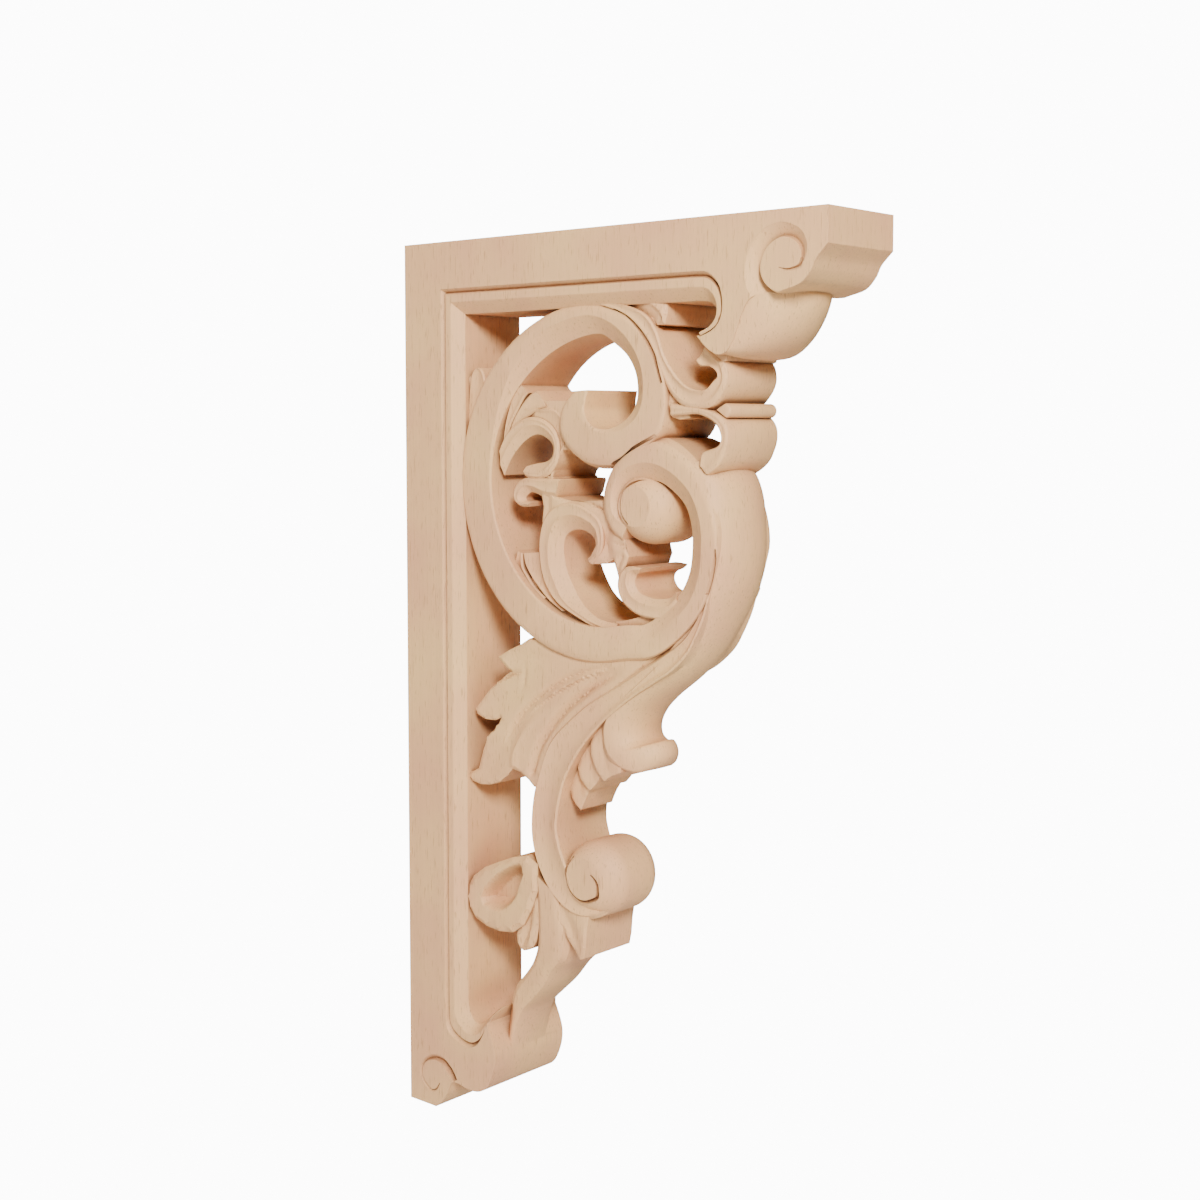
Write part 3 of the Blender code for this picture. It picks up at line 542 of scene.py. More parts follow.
# Three acanthus leaves fan out to the left of the stem
acanthusSizes = {
    "face": 6.6, "edge": (0.9, 0.8), "spacing": 1.15,
    "cuts": [
        # the vein that parts the middle leaf from the valley beside it
        ([(54.3, 171.4), (56.9, 175.6), (61.2, 181.8), (66.1, 187.6), (71.7, 192.4), (78, 196.7),
          (84.8, 201.3), (92.2, 205.2), (99.5, 208.1), (106.6, 210.4), (114.3, 212.1)],
         [0.2, 1.3, 1.9, 2.1, 2.1, 2.0, 1.6, 1.0], 2.2, 7.0, 1.3),
        # the raised edge of the sliver leaf below the valley
        ([(116.6, 211.2), (110.3, 209.3), (101.9, 206.4), (95.3, 203.4), (88.6, 200), (82.5, 196.6),
          (77.1, 193), (71.5, 188.6), (67.3, 184.2)],
         [-0.2, -1.3, -1.7, -1.6, -1.2, -0.7, -0.1], 0.7, 5.0, 1.0),
        # the dark cut along the stem
        ([(121.7, 210.7), (114.7, 207.3), (108.4, 203.6), (101.9, 199.3), (94, 193.6), (88.6, 188.6),
          (83.2, 183), (78.4, 176.8), (74.6, 170), (72, 162)],
         [0.6, 2.2, 2.6, 2.4, 2.2, 2.2, 2.0], 2.4, 3.5, 1.1),
        # a soft ridge that the lowest leaf folds along
        ([(60.9, 162.3), (61.1, 168.3), (64.5, 175.3), (68.7, 181.5), (75, 187.4)],
         [-1.0, -0.9, -0.7, -0.3], 2.4, 3.4, 1.0),
        # the fold between the top leaf and the middle leaf
        ([(49.4, 199.6), (56.9, 202.4), (61.5, 204), (66.5, 205)], [2.6, 2.2, 1.4, 0.3], 3.0, 0.6, 0.8),
        ([(64.5, 196), (67, 200.8), (68, 206.5), (67.3, 210)], [0.1, 0.6, 0.5, 0.1], 1.6, 1.6, 1.0),
        # the inner side of the lower notch
        ([(52.6, 183.6), (49.6, 180.6), (46, 176.6), (43, 174)], [0.4, 1.6, 1.6, 0.8], 0.7, 2.6, 1.0),
        # hollows of the three leaves
        ([(54, 210), (62, 210.6), (72, 213), (84, 214)], [0.4, 1.0, 0.8, 0.2], 4.5, 4.5, 1.0),
        ([(39, 185.4), (50, 190.5), (61, 195.5), (74, 202)], [0.3, 1.1, 1.1, 0.3], 8.0, 7.0, 1.0),
        ([(34, 155.4), (45, 159), (52, 168)], [0.2, 1.0, 0.6], 6.0, 6.0, 1.0)],
}


def makeAcanthus():
    outline = [
        (51, 210.9), (57.4, 214.3), (64.5, 217.3), (70, 220.5), (80, 223.5), (100, 219.5), (122, 219.4),
        (135, 222), (143, 223), (144, 219.6), (134, 213), (124, 206), (114, 199), (105, 193),
        (96.5, 186), (88.5, 178.6), (83, 170.5),
        (79.5, 163), (76.5, 156), (72.6, 155.6), (69.4, 158.2), (64.6, 160.9), (60.3, 162.1),
        (56.7, 158.6), (51.6, 154.9), (45.7, 152.8), (39.8, 152.2), (34.6, 153), (31.6, 154.8),
        (31, 156.8), (34.8, 157.4), (38.3, 159.3), (39.8, 163.2), (41.7, 168.7), (43.5, 174.6),
        (46.5, 177.3), (49.6, 180.6), (52.6, 183.9), (48.7, 182.1), (42.8, 182.1), (37.6, 183.8),
        (36.6, 186.3), (40.5, 190.4), (45.7, 195.8), (50.2, 200.1), (54, 202.6), (58.3, 204.9),
        (57, 206), (53.4, 208.3)]
    relief("acanthus", outline, acanthusSizes)


# Hooks, a small C-scroll and a cup fill the ring
hookSizes = {"face": 6.8, "left": (1.3, 1.0, "flat"), "right": (5.0, 2.4, "flat"), "dish": 0.3}
slimLeafSizes = {"face": 7.2, "step": 0.3, "dish": 0.8}
trunkSizes = {"face": 7.9, "dish": 1.2}
tieSizes = {"lowerFace": 9.4, "lowerRing": (59, 63), "lowerTurns": (226, 300), "upperFace": 8.5}


def makeInnerHooks():
    upper = [((52.5, 303), (53.4, 291)), ((56.7, 309.6), (57.4, 298)), ((62.2, 313.9), (63, 304)),
             ((68, 316.2), (68.5, 307.6)), ((74, 316.6), (74, 309.2)), ((80, 314.8), (79.1, 307.8)),
             ((85.2, 310.8), (82.9, 304.8)), ((87.6, 305), (83.2, 301)), ((87, 298.6), (81, 298.2)),
             ((83.3, 293.3), (77.2, 297.1)), ((79.1, 290.7), (74, 296.7)), ((73, 290), (70.5, 296)),
             ((68, 290.9), (68, 295.2)), ((66.8, 292.4), (67.2, 293.8))]
    lower = [((88, 290.2), (85, 281)), ((79, 290.4), (79, 281.5)), ((72, 290.5), (73.8, 283.4)),
             ((66.5, 289.9), (70, 284.2)), ((62, 287.4), (67.8, 283)), ((60.2, 283.6), (66.6, 281.6)),
             ((61.4, 280), (67.4, 280.4)), ((65.2, 277.9), (69.4, 280.4)), ((70, 277.9), (70.9, 280))]
    smallC = [((103.2, 257), (106.5, 254.8)), ((106.2, 259.4), (111.5, 260.5)),
              ((106.6, 262.4), (112.6, 267)), ((105.4, 265.6), (110.4, 273.6)),
              ((102, 267.8), (104.5, 277.6)), ((97.1, 269), (97.6, 280)), ((92, 268.3), (90.6, 280)),
              ((88.3, 265.7), (83.4, 277.4)), ((87.1, 261.6), (78.4, 272)), ((87.4, 256.9), (76, 263)),
              ((89, 251), (76.6, 253)), ((92.7, 244.4), (79.6, 244.8)), ((97.1, 238.9), (86.2, 237.4)),
              ((103.7, 234.2), (96, 232.6)), ((111, 231.6), (107, 228.2)),
              ((119.5, 230.6), (118.5, 225.6))]
    cup = [((133.5, 254.8), (132, 252.8)), ((126, 255), (129.5, 251.5)), ((121.5, 251.5), (128.2, 249)),
           ((120.5, 246), (129, 246.5)), ((123, 240.5), (131, 244.3)), ((129, 236.3), (135, 243)),
           ((137, 234.4), (140, 242.4)), ((147, 235), (147, 243.2)), ((154, 240), (150, 246))]
    strap("upperHook", upper, hookSizes)
    strap("lowerHook", lower, dict(hookSizes, right=(3.5, 2.4, "flat")))
    strap("smallC", [(outer, inner) for inner, outer in smallC],
          dict(hookSizes, left=(0.9, 0.7, "flat"), right=(6.8, 4.2, "flat")))
    strap("cup", cup, dict(hookSizes, left=(0.9, 0.7, "flat"), right=(3.2, 2.6, "flat")))

    # trunks tie the hooks to the ring and to each other
    strap("upperTrunk", [
        ((66, 321), (64, 311)), ((76, 320.2), (75, 312)), ((86, 319), (83, 308)),
        ((91, 309), (84, 302.5)), ((87, 299.6), (80.5, 296.6)), ((83.4, 292.5), (77, 292)),
        ((82, 285), (75, 285))], trunkSizes)
    relief("tie", [(75.9, 292.4), (83.5, 291), (84.2, 283), (92, 281.2), (104, 281.4), (112, 281.8),
                   (118, 272), (124, 266), (126, 259), (123, 252), (120, 249.6), (119.2, 253),
                   (117.6, 257.4), (113.6, 255.4), (106.9, 254.9), (104.2, 257), (108, 263), (107, 271),
                   (98, 276), (88, 277), (81, 271), (78.6, 265), (77.2, 272), (77.8, 278),
                   (76.6, 284), (73.6, 288.6)],
           {"face": 7.5, "edge": (0.7, 0.6), "spacing": 1.2, "cuts": [
               ([(117, 273), (113.4, 266), (114.6, 259.6)], 1.4, 4.0, 4.5, 1.0),
               ([(126, 262.6), (121, 263.4), (116, 264.4)], [1.6, 0.9, 0.1], 1.2, 2.4, 1.0),
               ([(119.8, 250), (120.6, 255), (122.6, 259)], 0.9, 1.4, 1.4, 1.0),
               ([(80, 290), (80.4, 283), (80.6, 277)], 1.0, 3.0, 4.0, 1.0),
               ([(92, 281), (102, 280.6), (111, 278)], 1.6, 1.6, 2.0, 1.0)]})
    centre, (near, far) = scrollSizes["innerCentre"], tieSizes["lowerRing"]
    first, last = tieSizes["lowerTurns"]
    board("lowerTie", arc(centre, far, first, last, 16) + arc(centre, near, last, first, 16),
          tieSizes["lowerFace"])
    board("upperTie", [(72, 313), (80, 311.4), (84.6, 308), (85.4, 303), (89.4, 302.6), (97, 304),
                       (96, 323.5), (73, 323.5)], tieSizes["upperFace"])

    # small leaves lie along the ring's inside and outside
    slim = [
        [((53.6, 302), (55, 302)), ((55.4, 313), (58.4, 312)), ((58.6, 322.2), (62.8, 319)),
         ((62, 328), (67, 324.8)), ((65, 330.6), (69.4, 327))],
        [((56.6, 307), (58.2, 306.4)), ((60, 315), (63.9, 313.6)), ((65, 321.6), (69.6, 317)),
         ((69.8, 326), (75, 319.8)), ((74, 328), (80, 321))],
        [((62, 258.5), (65.2, 257.4)), ((60.6, 252), (65.6, 251.6)), ((64, 247), (68.4, 247.8)),
         ((70, 242.4), (73, 242.8)), ((77, 237.5), (79, 238.8))],
        [((65.3, 257.4), (77.4, 258.6)), ((66.6, 252.6), (77.4, 252)), ((70, 247.8), (79.6, 246.6)),
         ((74.4, 243.4), (82, 241.6)), ((80, 238.4), (85.6, 237.4)), ((88, 233.6), (92, 234))],
        [((31.5, 306), (38, 306)), ((32.6, 318), (41, 317)), ((33.6, 329), (44, 328.4)),
         ((34.6, 334.6), (43, 334)), ((36.2, 337.2), (41.6, 337)), ((38.2, 338.4), (39.6, 338.4))],
        [((29.6, 312), (34, 312)), ((29.8, 325.7), (35, 325.6)), ((30, 333), (34.4, 332.6)),
         ((31, 335.6), (33.4, 335.4))]]
    for number, edges in enumerate(slim):
        face = slimLeafSizes["face"] + slimLeafSizes["step"] * (number % 4)
        strap(f"slimLeaf{number + 1}", edges, dict(slimLeafSizes, face=face))


# Branch, hooks, rolls and bead between the ring and the belly
branchSizes = {
    "face": [4.0, 4.2, 4.4, 4.6, 4.8, 5.0, 5.0, 5.0, 5.0, 5.0, 5.0, 5.2, 5.4, 5.4],
    "left": ([0.6, 0.8, 1.0, 1.2, 1.4, 2.0, 3.0, 3.6, 3.8, 3.8, 3.6, 3.0, 2.4, 1.0],
             [0.6, 0.7, 0.8, 0.9, 1.2, 2.0, 3.0, 3.4, 3.4, 3.4, 3.2, 2.6, 2.0, 1.0], "round"),
    "right": (0.8, 0.8, "flat"), "dish": 0.8,
}
lipSizes = {"face": 5.2, "left": (2.4, 2.2, "round"), "right": (0.8, 0.6, "flat"), "dish": 0.4}
beadSizes = {"centre": (176, 318.9), "radius": 2.9, "face": 6.6, "edge": 1.0}
bellyNeckSizes = {"face": 5.9}


def makeFrontEdge():
    branch = [((114, 362.5), (114, 365)), ((125, 358.8), (126, 362.3)), ((133, 353.4), (137, 358)),
              ((139, 346.4), (142.8, 351)), ((142.8, 339), (146, 342.6)), ((145.4, 332.4), (150.2, 335.8)),
              ((149, 325.8), (156, 330)), ((154.6, 320.6), (161.8, 327.4)),
              ((162, 318.6), (167.6, 327.4)), ((170.6, 319.8), (171, 330.4)),
              ((176.2, 325.4), (173.2, 332.4)), ((178.6, 331.4), (172.4, 334.6)),
              ((177.6, 337), (168.6, 336.4)), ((172.4, 341.2), (164.6, 336.4)),
              ((167.4, 344.2), (162.5, 338.2))]
    strap("branch", branch, branchSizes)
    lip = [((150, 322.4), (150, 317)), ((157, 321.2), (157, 317.4)), ((163.6, 320.2), (163.4, 317.6)),
           ((170.5, 318.8), (169.7, 315.5)), ((175.4, 316.4), (173.4, 312.6)),
           ((178.3, 312.8), (174.9, 309.3)), ((178.8, 308.2), (174.8, 306.8)),
           ((177.8, 303.6), (173.2, 304.8)), ((176, 299.4), (169.6, 303.6)), ((172.8, 296), (165.8, 302.2)),
           ((168.6, 293.4), (164.6, 297.6))]
    strap("lipHook", lip, lipSizes)
    bead = arc(beadSizes["centre"], beadSizes["radius"], -80, 80, 9)
    slab("bead", bead + [(175.6, 321.6), (171.6, 319.3), (175.6, 316.4)],
         beadSizes["face"], beadSizes["edge"])
    board("neckOfBelly", [(167.4, 343), (172, 346), (180, 345.4), (177.6, 338.4), (174, 337)],
          bellyNeckSizes["face"])
    relief("betweenLeaf", [(144.8, 330), (145.9, 324), (146.1, 318.9), (149.2, 316.4), (153.1, 315.4),
                           (158.4, 316.2), (157.6, 320.6), (152.6, 323), (149, 327.4)],
           {"face": 7.2, "edge": (0.7, 0.5), "spacing": 1.0,
            "cuts": [([(147, 327), (148.4, 321.4), (153.6, 317.6)], [-0.2, -1.0, -0.4], 2.0, 2.4, 1.0)]})
    relief("underRail", [(107, 368), (107, 364.6), (112, 363.3), (123, 361.6), (134, 357.6),
                         (142, 353.3), (146.4, 353.5), (147.8, 357.6), (147.2, 368)],
           {"face": 5.8, "edge": (0.8, 0.8), "spacing": 1.2, "cuts": [
               ([(132, 363.8), (140.8, 361.3), (144.9, 358.2), (146.4, 354)],
                [0.1, -0.9, -1.3, -0.8], 4.0, 0.7, 1.0),
               ([(118, 362.4), (130, 361.2), (140, 356.4)], 1.2, 3.0, 3.6, 1.0)]})


# Cup, slim leaf, petal and neck between the lower volute and the foot
neckSizes = {
    "face": [5.5, 5.5, 5.8, 6.4, 7.6, 9.0, 10.0, 10.4, 10.6, 10.6, 11.0, 11.6],
    "left": (2.4, 1.4, "flat"),
    "right": ([4, 6, 6, 6, 5, 4, 3, 3, 2, 2], [3, 4, 4, 4, 4, 4, 3, 3, 2, 2], "round"),
}
sideCupSizes = {
    "face": 4.5, "edge": (1.6, 1.5), "spacing": 1.15,
    "bowls": [([(67, 121.6), (59.5, 118.8), (52.2, 114.2), (46.4, 109.2), (42.8, 105), (41.6, 101.4),
                (43.4, 98.4), (48.3, 97), (54.1, 97.4), (59.6, 100.4), (63.8, 105), (66.4, 111),
                (68.4, 117)], 8.4, 4.4)],
}


def makeFootCarving():
    neck = [((74, 118), (88, 110)), ((75.3, 106), (90, 103)), ((75.3, 95), (92, 94)),
            ((74.5, 86), (89, 82)), ((70.5, 77), (82, 74)), ((64.5, 70), (76, 66)),
            ((58, 63), (69, 59)), ((54.5, 55), (62, 52.4)), ((53.6, 47), (58.6, 46)),
            ((52.2, 39), (56.2, 38.6)), ((50, 31), (54.2, 31)), ((46, 25), (50.5, 26))]
    strap("neck", neck, neckSizes)
    relief("sideCup", [(70, 125), (60.9, 122.7), (52.3, 119.2), (43.5, 115.3), (36.6, 110.3),
                       (33.6, 106), (32.5, 100.3), (34.1, 95.1), (37.6, 91.1), (44.5, 88.6),
                       (52.3, 87.8), (60.9, 88.9), (67.5, 93.4), (72, 101), (76, 110), (76, 122)],
           sideCupSizes)
    relief("slimLeafFoot", [(75, 108), (75.6, 95), (74, 87.4), (72, 84.2), (69.2, 82.4), (66, 81.3),
                            (63.6, 81.8), (62.2, 84), (61.9, 88), (64.6, 93.4), (69, 101), (72, 107)],
           {"face": 6.6, "edge": (0.8, 0.7), "spacing": 1.1, "cuts": [
               ([(72, 102), (69.4, 93), (64.8, 83)], [0.4, 1.6, 1.4], 3.0, 3.6, 1.1),
               ([(72.4, 99), (71.2, 90), (69.6, 83)], [-0.3, -0.8, -0.5], 1.6, 1.6, 1.0)]})
    relief("petal", [(82, 107), (84.4, 103.6), (88.5, 97.6), (92.1, 92.4), (96.5, 87.6), (99.6, 84),
                     (101.8, 85), (102.8, 90), (103.4, 97), (104.6, 104), (96, 107.6)],
           {"face": 6.4, "edge": (0.9, 0.8), "spacing": 1.2, "cuts": [
               ([(90, 104), (94.6, 96), (98.8, 87)], [0.8, 1.4, 0.8], 5.0, 3.4, 1.0)]})


# Lines and hollows cut with the gouge
def cutLines():
    trench("endHollow", flow(pairs([
        ((217.5, 374), (216.2, 374.5)), ((218.8, 380), (215.6, 379)), ((215.5, 386), (212, 382.6)),
        ((207.5, 389), (206.5, 383.4)), ((199, 387), (201, 380.5)), ((193, 381), (198.2, 376)),
        ((190.3, 373), (197.6, 371)), ((191.2, 365.6), (200, 366.5)), ((195.6, 360.4), (204.5, 363.5)),
        ((206, 361.6), (211, 363)), ((213, 362.5), (214, 363))]), 4),
        [0.9, 1.6, 2.2, 2.4, 2.8, 3.2, 3.4, 3.4, 3.0, 1.6, 0.5])
    groove("endSpiral", [(216.6, 375.2), (215.6, 372.6), (213, 371.6), (209.5, 371.3), (206, 372.3)],
           [1.4, 1.6, 1.3, 0.9, 0.4], [1.0, 1.1, 0.9, 0.7, 0.3])
    groove("footSpiral", [(19.5, 11.5), (17, 8), (13.5, 7), (9.5, 9.5), (7.3, 13), (8, 17.5),
                          (11, 21), (16, 23), (21.4, 22.6), (25, 20), (27.4, 17.8), (29.5, 15)],
           [0.6, 1.2, 1.4, 1.6, 2.6, 4.2, 3.6], [0.5, 0.9, 1.0, 1.2, 1.8, 3.0, 5.0])
    groove("eyeLine", [(128.4, 272.6), (125, 275.8), (123.6, 279.4), (124.2, 284.8), (127.2, 288.6),
                       (132.6, 291), (138.8, 291.3), (144.6, 289.8), (149.6, 286.4), (154, 283.6)],
           [0.5, 1.4, 2.0, 2.2, 2.2, 2.2, 2.2], [0.4, 1.2, 1.8, 2.2, 2.4, 2.6, 2.6], face=5.0)
    groove("ringJoint", [(119, 296.6), (127, 301.6), (135, 305.6), (143, 309)], 1.3, [1.0, 1.1, 0.5],
           face=[6.4, 5.6, 4.6])
    groove("stemLine", [(173.6, 264.6), (173, 259), (171.5, 252.6), (169.4, 246.4)],
           [0.5, 1.2, 1.4, 1.2], [0.4, 1.1, 1.3, 1.0], face=[5.0, 4.9, 5.0, 5.2])
    groove("voluteLip", [(106.9, 122.8), (109.6, 120.8), (110.9, 118), (110.6, 114), (108.4, 112.2),
                         (103, 110.2), (98, 111.2), (94.4, 114.4), (92.6, 119), (93.4, 124.6), (96.4, 129)],
           [0.5, 1.4, 1.6, 1.6, 1.4, 1.2, 1.0], [0.4, 1.6, 1.8, 1.8, 1.6, 1.2, 0.8],
           face=[6.2, 6.4, 6.4, 5.8, 5.8, 6.4, 7.0])
    groove("branchLine", [(121, 360.6), (126.4, 358.2), (131, 355), (135.6, 350.6), (139.6, 345.4),
                          (142.6, 339.8), (144.8, 334), (146.2, 330)],
           [0.5, 1.2, 1.4, 1.4, 1.2], [0.4, 1.2, 1.5, 1.6, 1.4], face=[5.0, 4.4, 4.4, 4.8, 5.2])


# Beech, sawn, carved and sanded raw: pale, with fine short flecks; painted warm shade in the hollows and
# dark painted shade in the creases
beechSizes = {
    "faceColour": "#F4BC80", "faceShare": 0.4, "lightColour": "#FBCE87", "pinkColour": "#EAA97F",
    "toneSize": 45.0, "toneRange": (0.3, 0.7),
    "streakWidth": 0.5, "streakLength": 60.0, "streakRange": (0.0, 1.0, 0.88, 1.06),
    "streakNoise": {"Scale": 0.5, "Detail": 3.0, "Roughness": 0.6},
    "fleckWidth": 0.22, "fleckLength": 2.2, "fleckRange": (0.60, 0.70, 0.0, 0.45),
    "fleckNoise": {"Scale": 0.33, "Detail": 2.0, "Roughness": 0.5}, "fleckColour": "#A8744A",
    # the hollow colour is painted shade, laid where ambient occlusion finds little light within reach
    "hollowColour": "#A06C4C", "hollowReach": 22.0, "hollowRange": (0.12, 0.86, 0.72, 0.0),
    # the crease colour is painted shade, laid in the tightest creases where ambient occlusion finds little
    # light
    "creaseShadeColour": "#7C4C28", "creaseShadeReach": 3.2, "creaseShadeRange": (0.25, 0.72, 0.85, 0.0),
    "roughness": 0.62, "ior": 1.45, "arrisRound": 0.45, "grainStrength": 0.25, "grainHeight": 0.12,
    "samples": 6,
}


def linear(hexColour):
    channels = [int(hexColour[i:i + 2], 16) / 255 for i in (1, 3, 5)]
    return [c / 12.92 if c <= 0.04045 else ((c + 0.055) / 1.055) ** 2.4 for c in channels] + [1.0]


def addNode(tree, kind, settings=None, links=None):
    # settings: attributes or input values; links: input name to output socket
    node = tree.nodes.new(kind)
    for key, value in (settings or {}).items():
        if isinstance(key, str) and hasattr(node, key):
            setattr(node, key, value)
        else:
            node.inputs[key].default_value = value
    for key, socket in (links or {}).items():
        tree.links.new(socket, node.inputs[key])
    return node


def mixColours(tree, share, first, second, blend="MIX"):
    # each of the three is a value, or the socket that gives it
    given = {0: share, 6: first, 7: second}
    links = {key: value for key, value in given.items() if isinstance(value, bpy.types.NodeSocket)}
    values = {key: value for key, value in given.items() if key not in links}
    mix = addNode(tree, "ShaderNodeMix", {"data_type": "RGBA", "blend_type": blend, **values}, links)
    return mix.outputs[2]


def spread(tree, value, low, high, least=0.0, most=1.0):
    # low to high becomes least to most
    ranged = addNode(tree, "ShaderNodeMapRange", {"From Min": low, "From Max": high, "To Min": least,
                                                  "To Max": most}, {"Value": value})
    return ranged.outputs["Result"]


def makeBeech():
    size = beechSizes
    wood = bpy.data.materials.new("rawBeechCarvedSanded")
    wood.use_nodes = True
    tree = wood.node_tree
    shader = tree.nodes["Principled BSDF"]
    place = addNode(tree, "ShaderNodeTexCoord").outputs["Object"]

    def grain(kind):
        # grain runs up the wall, so its noise is long in Z
        across, along = 1 / (size[kind + "Width"] * mm), 1 / (size[kind + "Length"] * mm)
        scaled = addNode(tree, "ShaderNodeMapping", {"Scale": (across, across, along)}, {"Vector": place})
        noise = addNode(tree, "ShaderNodeTexNoise", size[kind + "Noise"],
                        {"Vector": scaled.outputs["Vector"]})
        return noise.outputs["Fac"]

    def paintShade(colour, kind):
        # painted shade: a darker colour laid where little light comes within reach
        shade = addNode(tree, "ShaderNodeAmbientOcclusion",
                        {"samples": size["samples"], "Distance": size[kind + "Reach"] * mm,
                         "only_local": True})
        return mixColours(tree, spread(tree, shade.outputs["AO"], *size[kind + "Range"]), colour,
                          linear(size[kind + "Colour"]))

    patches = addNode(tree, "ShaderNodeTexNoise", {"Scale": 1 / (size["toneSize"] * mm), "Detail": 2.0},
                      {"Vector": place})
    colour = mixColours(tree, spread(tree, patches.outputs["Fac"], *size["toneRange"]),
                        linear(size["pinkColour"]), linear(size["lightColour"]))
    colour = mixColours(tree, size["faceShare"], colour, linear(size["faceColour"]))
    streaks = spread(tree, grain("streak"), *size["streakRange"])
    colour = mixColours(tree, 1.0, colour, streaks, "MULTIPLY")
    flecks = grain("fleck")
    colour = mixColours(tree, spread(tree, flecks, *size["fleckRange"]), colour,
                        linear(size["fleckColour"]))
    colour = paintShade(colour, "hollow")        # painted shade: warmer and darker in the hollows, where little light reaches
    colour = paintShade(colour, "creaseShade")        # painted shade: dark lines in the tightest creases, where little light reaches
    tree.links.new(colour, shader.inputs["Base Color"])
    shader.inputs["Roughness"].default_value = size["roughness"]
    shader.inputs["IOR"].default_value = size["ior"]
    rounded = addNode(tree, "ShaderNodeBevel",
                      {"samples": size["samples"], "Radius": size["arrisRound"] * mm})
    bump = addNode(tree, "ShaderNodeBump",
                   {"Strength": size["grainStrength"], "Distance": size["grainHeight"] * mm},
                   {"Height": flecks, "Normal": rounded.outputs["Normal"]})
    tree.links.new(bump.outputs["Normal"], shader.inputs["Normal"])
    return wood


# Degrees: faces this flat to each other are merged, and edges from this fold on stay sharp
meshSizes = {"flatWithin": 0.4, "sharpFrom": 28.0}


def joinCarving(wood):
    # all forms become one solid, then the cutters are taken out of it
    shapes = bpy.data.collections.new("carvedForms")
    knives = bpy.data.collections.new("gougeCuts")
    for group in (shapes, knives):
        bpy.context.scene.collection.children.link(group)
    carving = forms[0]
    for body in forms[1:]:
        bpy.context.scene.collection.objects.unlink(body)
        shapes.objects.link(body)
    for body in hollows:
        bpy.context.scene.collection.objects.unlink(body)
        knives.objects.link(body)
    for group, operation in ((shapes, "UNION"), (knives, "DIFFERENCE")):
        join = carving.modifiers.new(operation.lower(), "BOOLEAN")
        join.operation = operation
        join.solver = "MANIFOLD"
        join.operand_type = "COLLECTION"
        join.collection = group
    bpy.context.view_layer.update()
    solid = bpy.data.meshes.new_from_object(
        carving.evaluated_get(bpy.context.evaluated_depsgraph_get()))
    carving.modifiers.clear()
    for body in forms[1:] + hollows:
        bpy.data.objects.remove(body)
    for group in (shapes, knives):
        bpy.data.collections.remove(group)
    bm = bmesh.new()
    bm.from_mesh(solid)
    bmesh.ops.dissolve_limit(bm, angle_limit=math.radians(meshSizes["flatWithin"]), verts=bm.verts[:],
                             edges=bm.edges[:], delimit={"NORMAL"})
    bmesh.ops.triangulate(bm, faces=bm.faces[:])
    bm.to_mesh(solid)
    bm.free()
    solid.name = "corbelCarving"
    solid.shade_smooth()
    solid.set_sharp_from_angle(angle=math.radians(meshSizes["sharpFrom"]))
    solid.materials.clear()
    solid.materials.append(wood)
    carving.data = solid
    carving.name = "corbelCarving"
    print("carving:", len(solid.polygons), "triangles")
    return carving


# The camera stands at the photograph's place; sizes in mm from the middle of the wall face
cameraSizes = {"place": (586.2, -558.7, 117.7), "turn": 41.171, "tilt": 3.913, "focalPixels": 1732.5,
               "imagePixels": 1200.0, "axisRow": 540.0, "sensor": 36.0}
# Floor, air and lights in metres; brightSide is where the air is bright, facing how far it reaches
stageSizes = {"floorDrop": 0.16, "floorSize": 6.0, "paperColour": "#F2F0EE", "paperRoughness": 0.9,
              "paperGlow": 12.0, "white": (1.0, 1.0, 1.0, 1.0), "brightSide": (0.72, -0.62, 0.38),
              "facing": (-0.6, 0.9), "airStrength": (0.05, 2.2)}
lightSizes = {"aim": (0.11, 0.0, 0.0),
              "boxes": {"keyRightFront": ((1.1, -0.9, 0.72), 0.35, 40.0),    # place, width, watts
                        "fillLeft": ((-0.9, -1.2, 0.3), 1.2, 6.0)}}


def makeCamera():
    size = cameraSizes
    eye = bpy.data.cameras.new("camera")
    eye.sensor_width = size["sensor"]
    eye.lens = size["focalPixels"] / size["imagePixels"] * size["sensor"]
    eye.shift_y = (size["axisRow"] - size["imagePixels"] / 2) / size["imagePixels"]
    eye.clip_start, eye.clip_end = 0.05, 50.0
    camera = bpy.data.objects.new("camera", eye)
    camera.location = [v * mm for v in size["place"]]
    camera.rotation_euler = (math.radians(90 - size["tilt"]), 0.0, math.radians(size["turn"]))
    bpy.context.scene.collection.objects.link(camera)
    bpy.context.scene.camera = camera


def cameraOnly(tree, lit, seen):
    # what the lens sees directly is the pale paper; everything else gets the studio's light
    path = addNode(tree, "ShaderNodeLightPath")
    mix = addNode(tree, "ShaderNodeMixShader", None, {0: path.outputs["Is Camera Ray"], 1: lit, 2: seen})
    return mix.outputs["Shader"]


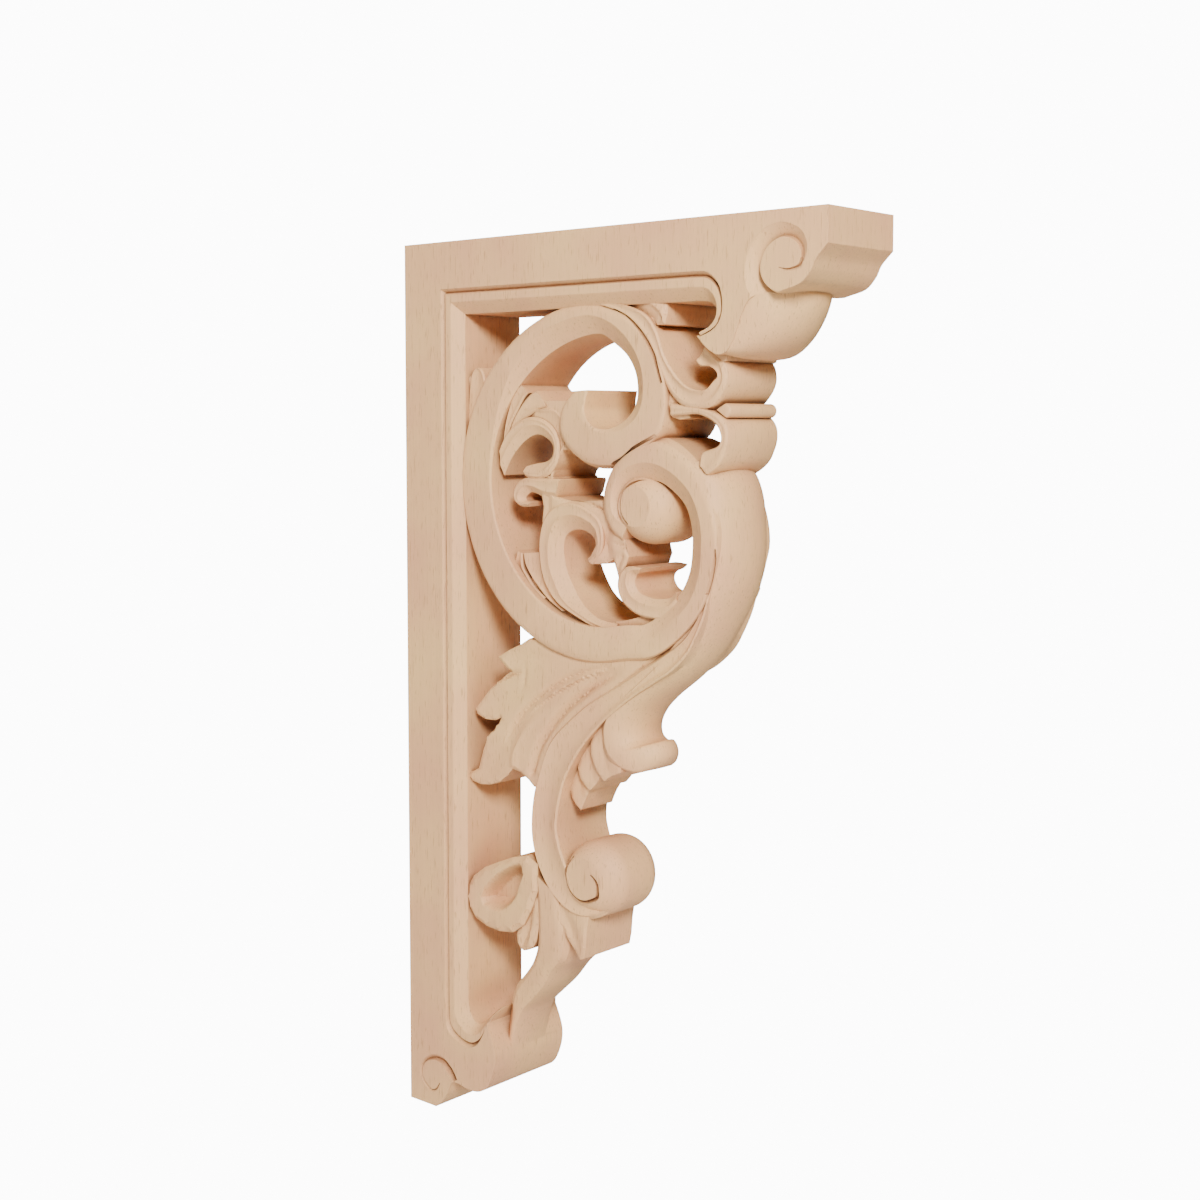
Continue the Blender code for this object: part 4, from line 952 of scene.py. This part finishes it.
def makeStage():
    size = stageSizes
    level = nodeLow.z - size["floorDrop"]
    # rolled paper, dull and even, so that no edge or shine shows behind the bracket
    paper = bpy.data.materials.new("paperBackdropMatte")
    paper.use_nodes = True
    tree = paper.node_tree
    shader = tree.nodes["Principled BSDF"]
    shader.inputs["Base Color"].default_value = linear(size["paperColour"])
    shader.inputs["Roughness"].default_value = size["paperRoughness"]
    glowing = {"Color": size["white"], "Strength": size["paperGlow"]}
    glow = addNode(tree, "ShaderNodeEmission", glowing)
    tree.links.new(cameraOnly(tree, shader.outputs[0], glow.outputs[0]),
                   tree.nodes["Material Output"].inputs["Surface"])
    bm = bmesh.new()
    reach = size["floorSize"]
    bm.faces.new([bm.verts.new((x, y, level))
                  for x, y in ((-reach, -reach), (reach, -reach), (reach, reach), (-reach, reach))])
    mesh = bpy.data.meshes.new("floor")
    bm.to_mesh(mesh)
    bm.free()
    mesh.materials.append(paper)
    floor = bpy.data.objects.new("floor", mesh)
    bpy.context.scene.collection.objects.link(floor)

    # the air is bright in front of the bracket and dim behind it, as in a booth open at the front
    world = bpy.data.worlds.new("studioAir")
    world.use_nodes = True
    tree = world.node_tree
    air = tree.nodes["Background"]
    look = addNode(tree, "ShaderNodeTexCoord")
    facing = addNode(tree, "ShaderNodeVectorMath", {"operation": "DOT_PRODUCT", 1: size["brightSide"]},
                     {0: look.outputs["Generated"]})
    bright = spread(tree, facing.outputs["Value"], *size["facing"], *size["airStrength"])
    tree.links.new(bright, air.inputs["Strength"])
    seen = addNode(tree, "ShaderNodeBackground", glowing)
    tree.links.new(cameraOnly(tree, air.outputs[0], seen.outputs[0]),
                   tree.nodes["World Output"].inputs["Surface"])
    bpy.context.scene.world = world


def makeLights():
    aim = Vector(lightSizes["aim"])
    for name, (place, width, power) in lightSizes["boxes"].items():
        lamp = bpy.data.lights.new(name, "AREA")
        lamp.shape, lamp.size, lamp.energy = "SQUARE", width, power
        box = bpy.data.objects.new(name, lamp)
        box.location = place
        box.rotation_euler = (aim - Vector(place)).to_track_quat("-Z", "Y").to_euler()
        bpy.context.scene.collection.objects.link(box)


makeCamera()
print("camera ready")
makeFrame()
makeScroll()
makeStem()
makeFringe()
makeAcanthus()
makeInnerHooks()
makeFrontEdge()
makeFootCarving()
cutLines()
print("forms:", len(forms), "cuts:", len(hollows))
carving = joinCarving(makeBeech())
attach(carving, "root")
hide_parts("corbel_bracket")
makeStage()
makeLights()
print("stage and lights ready")
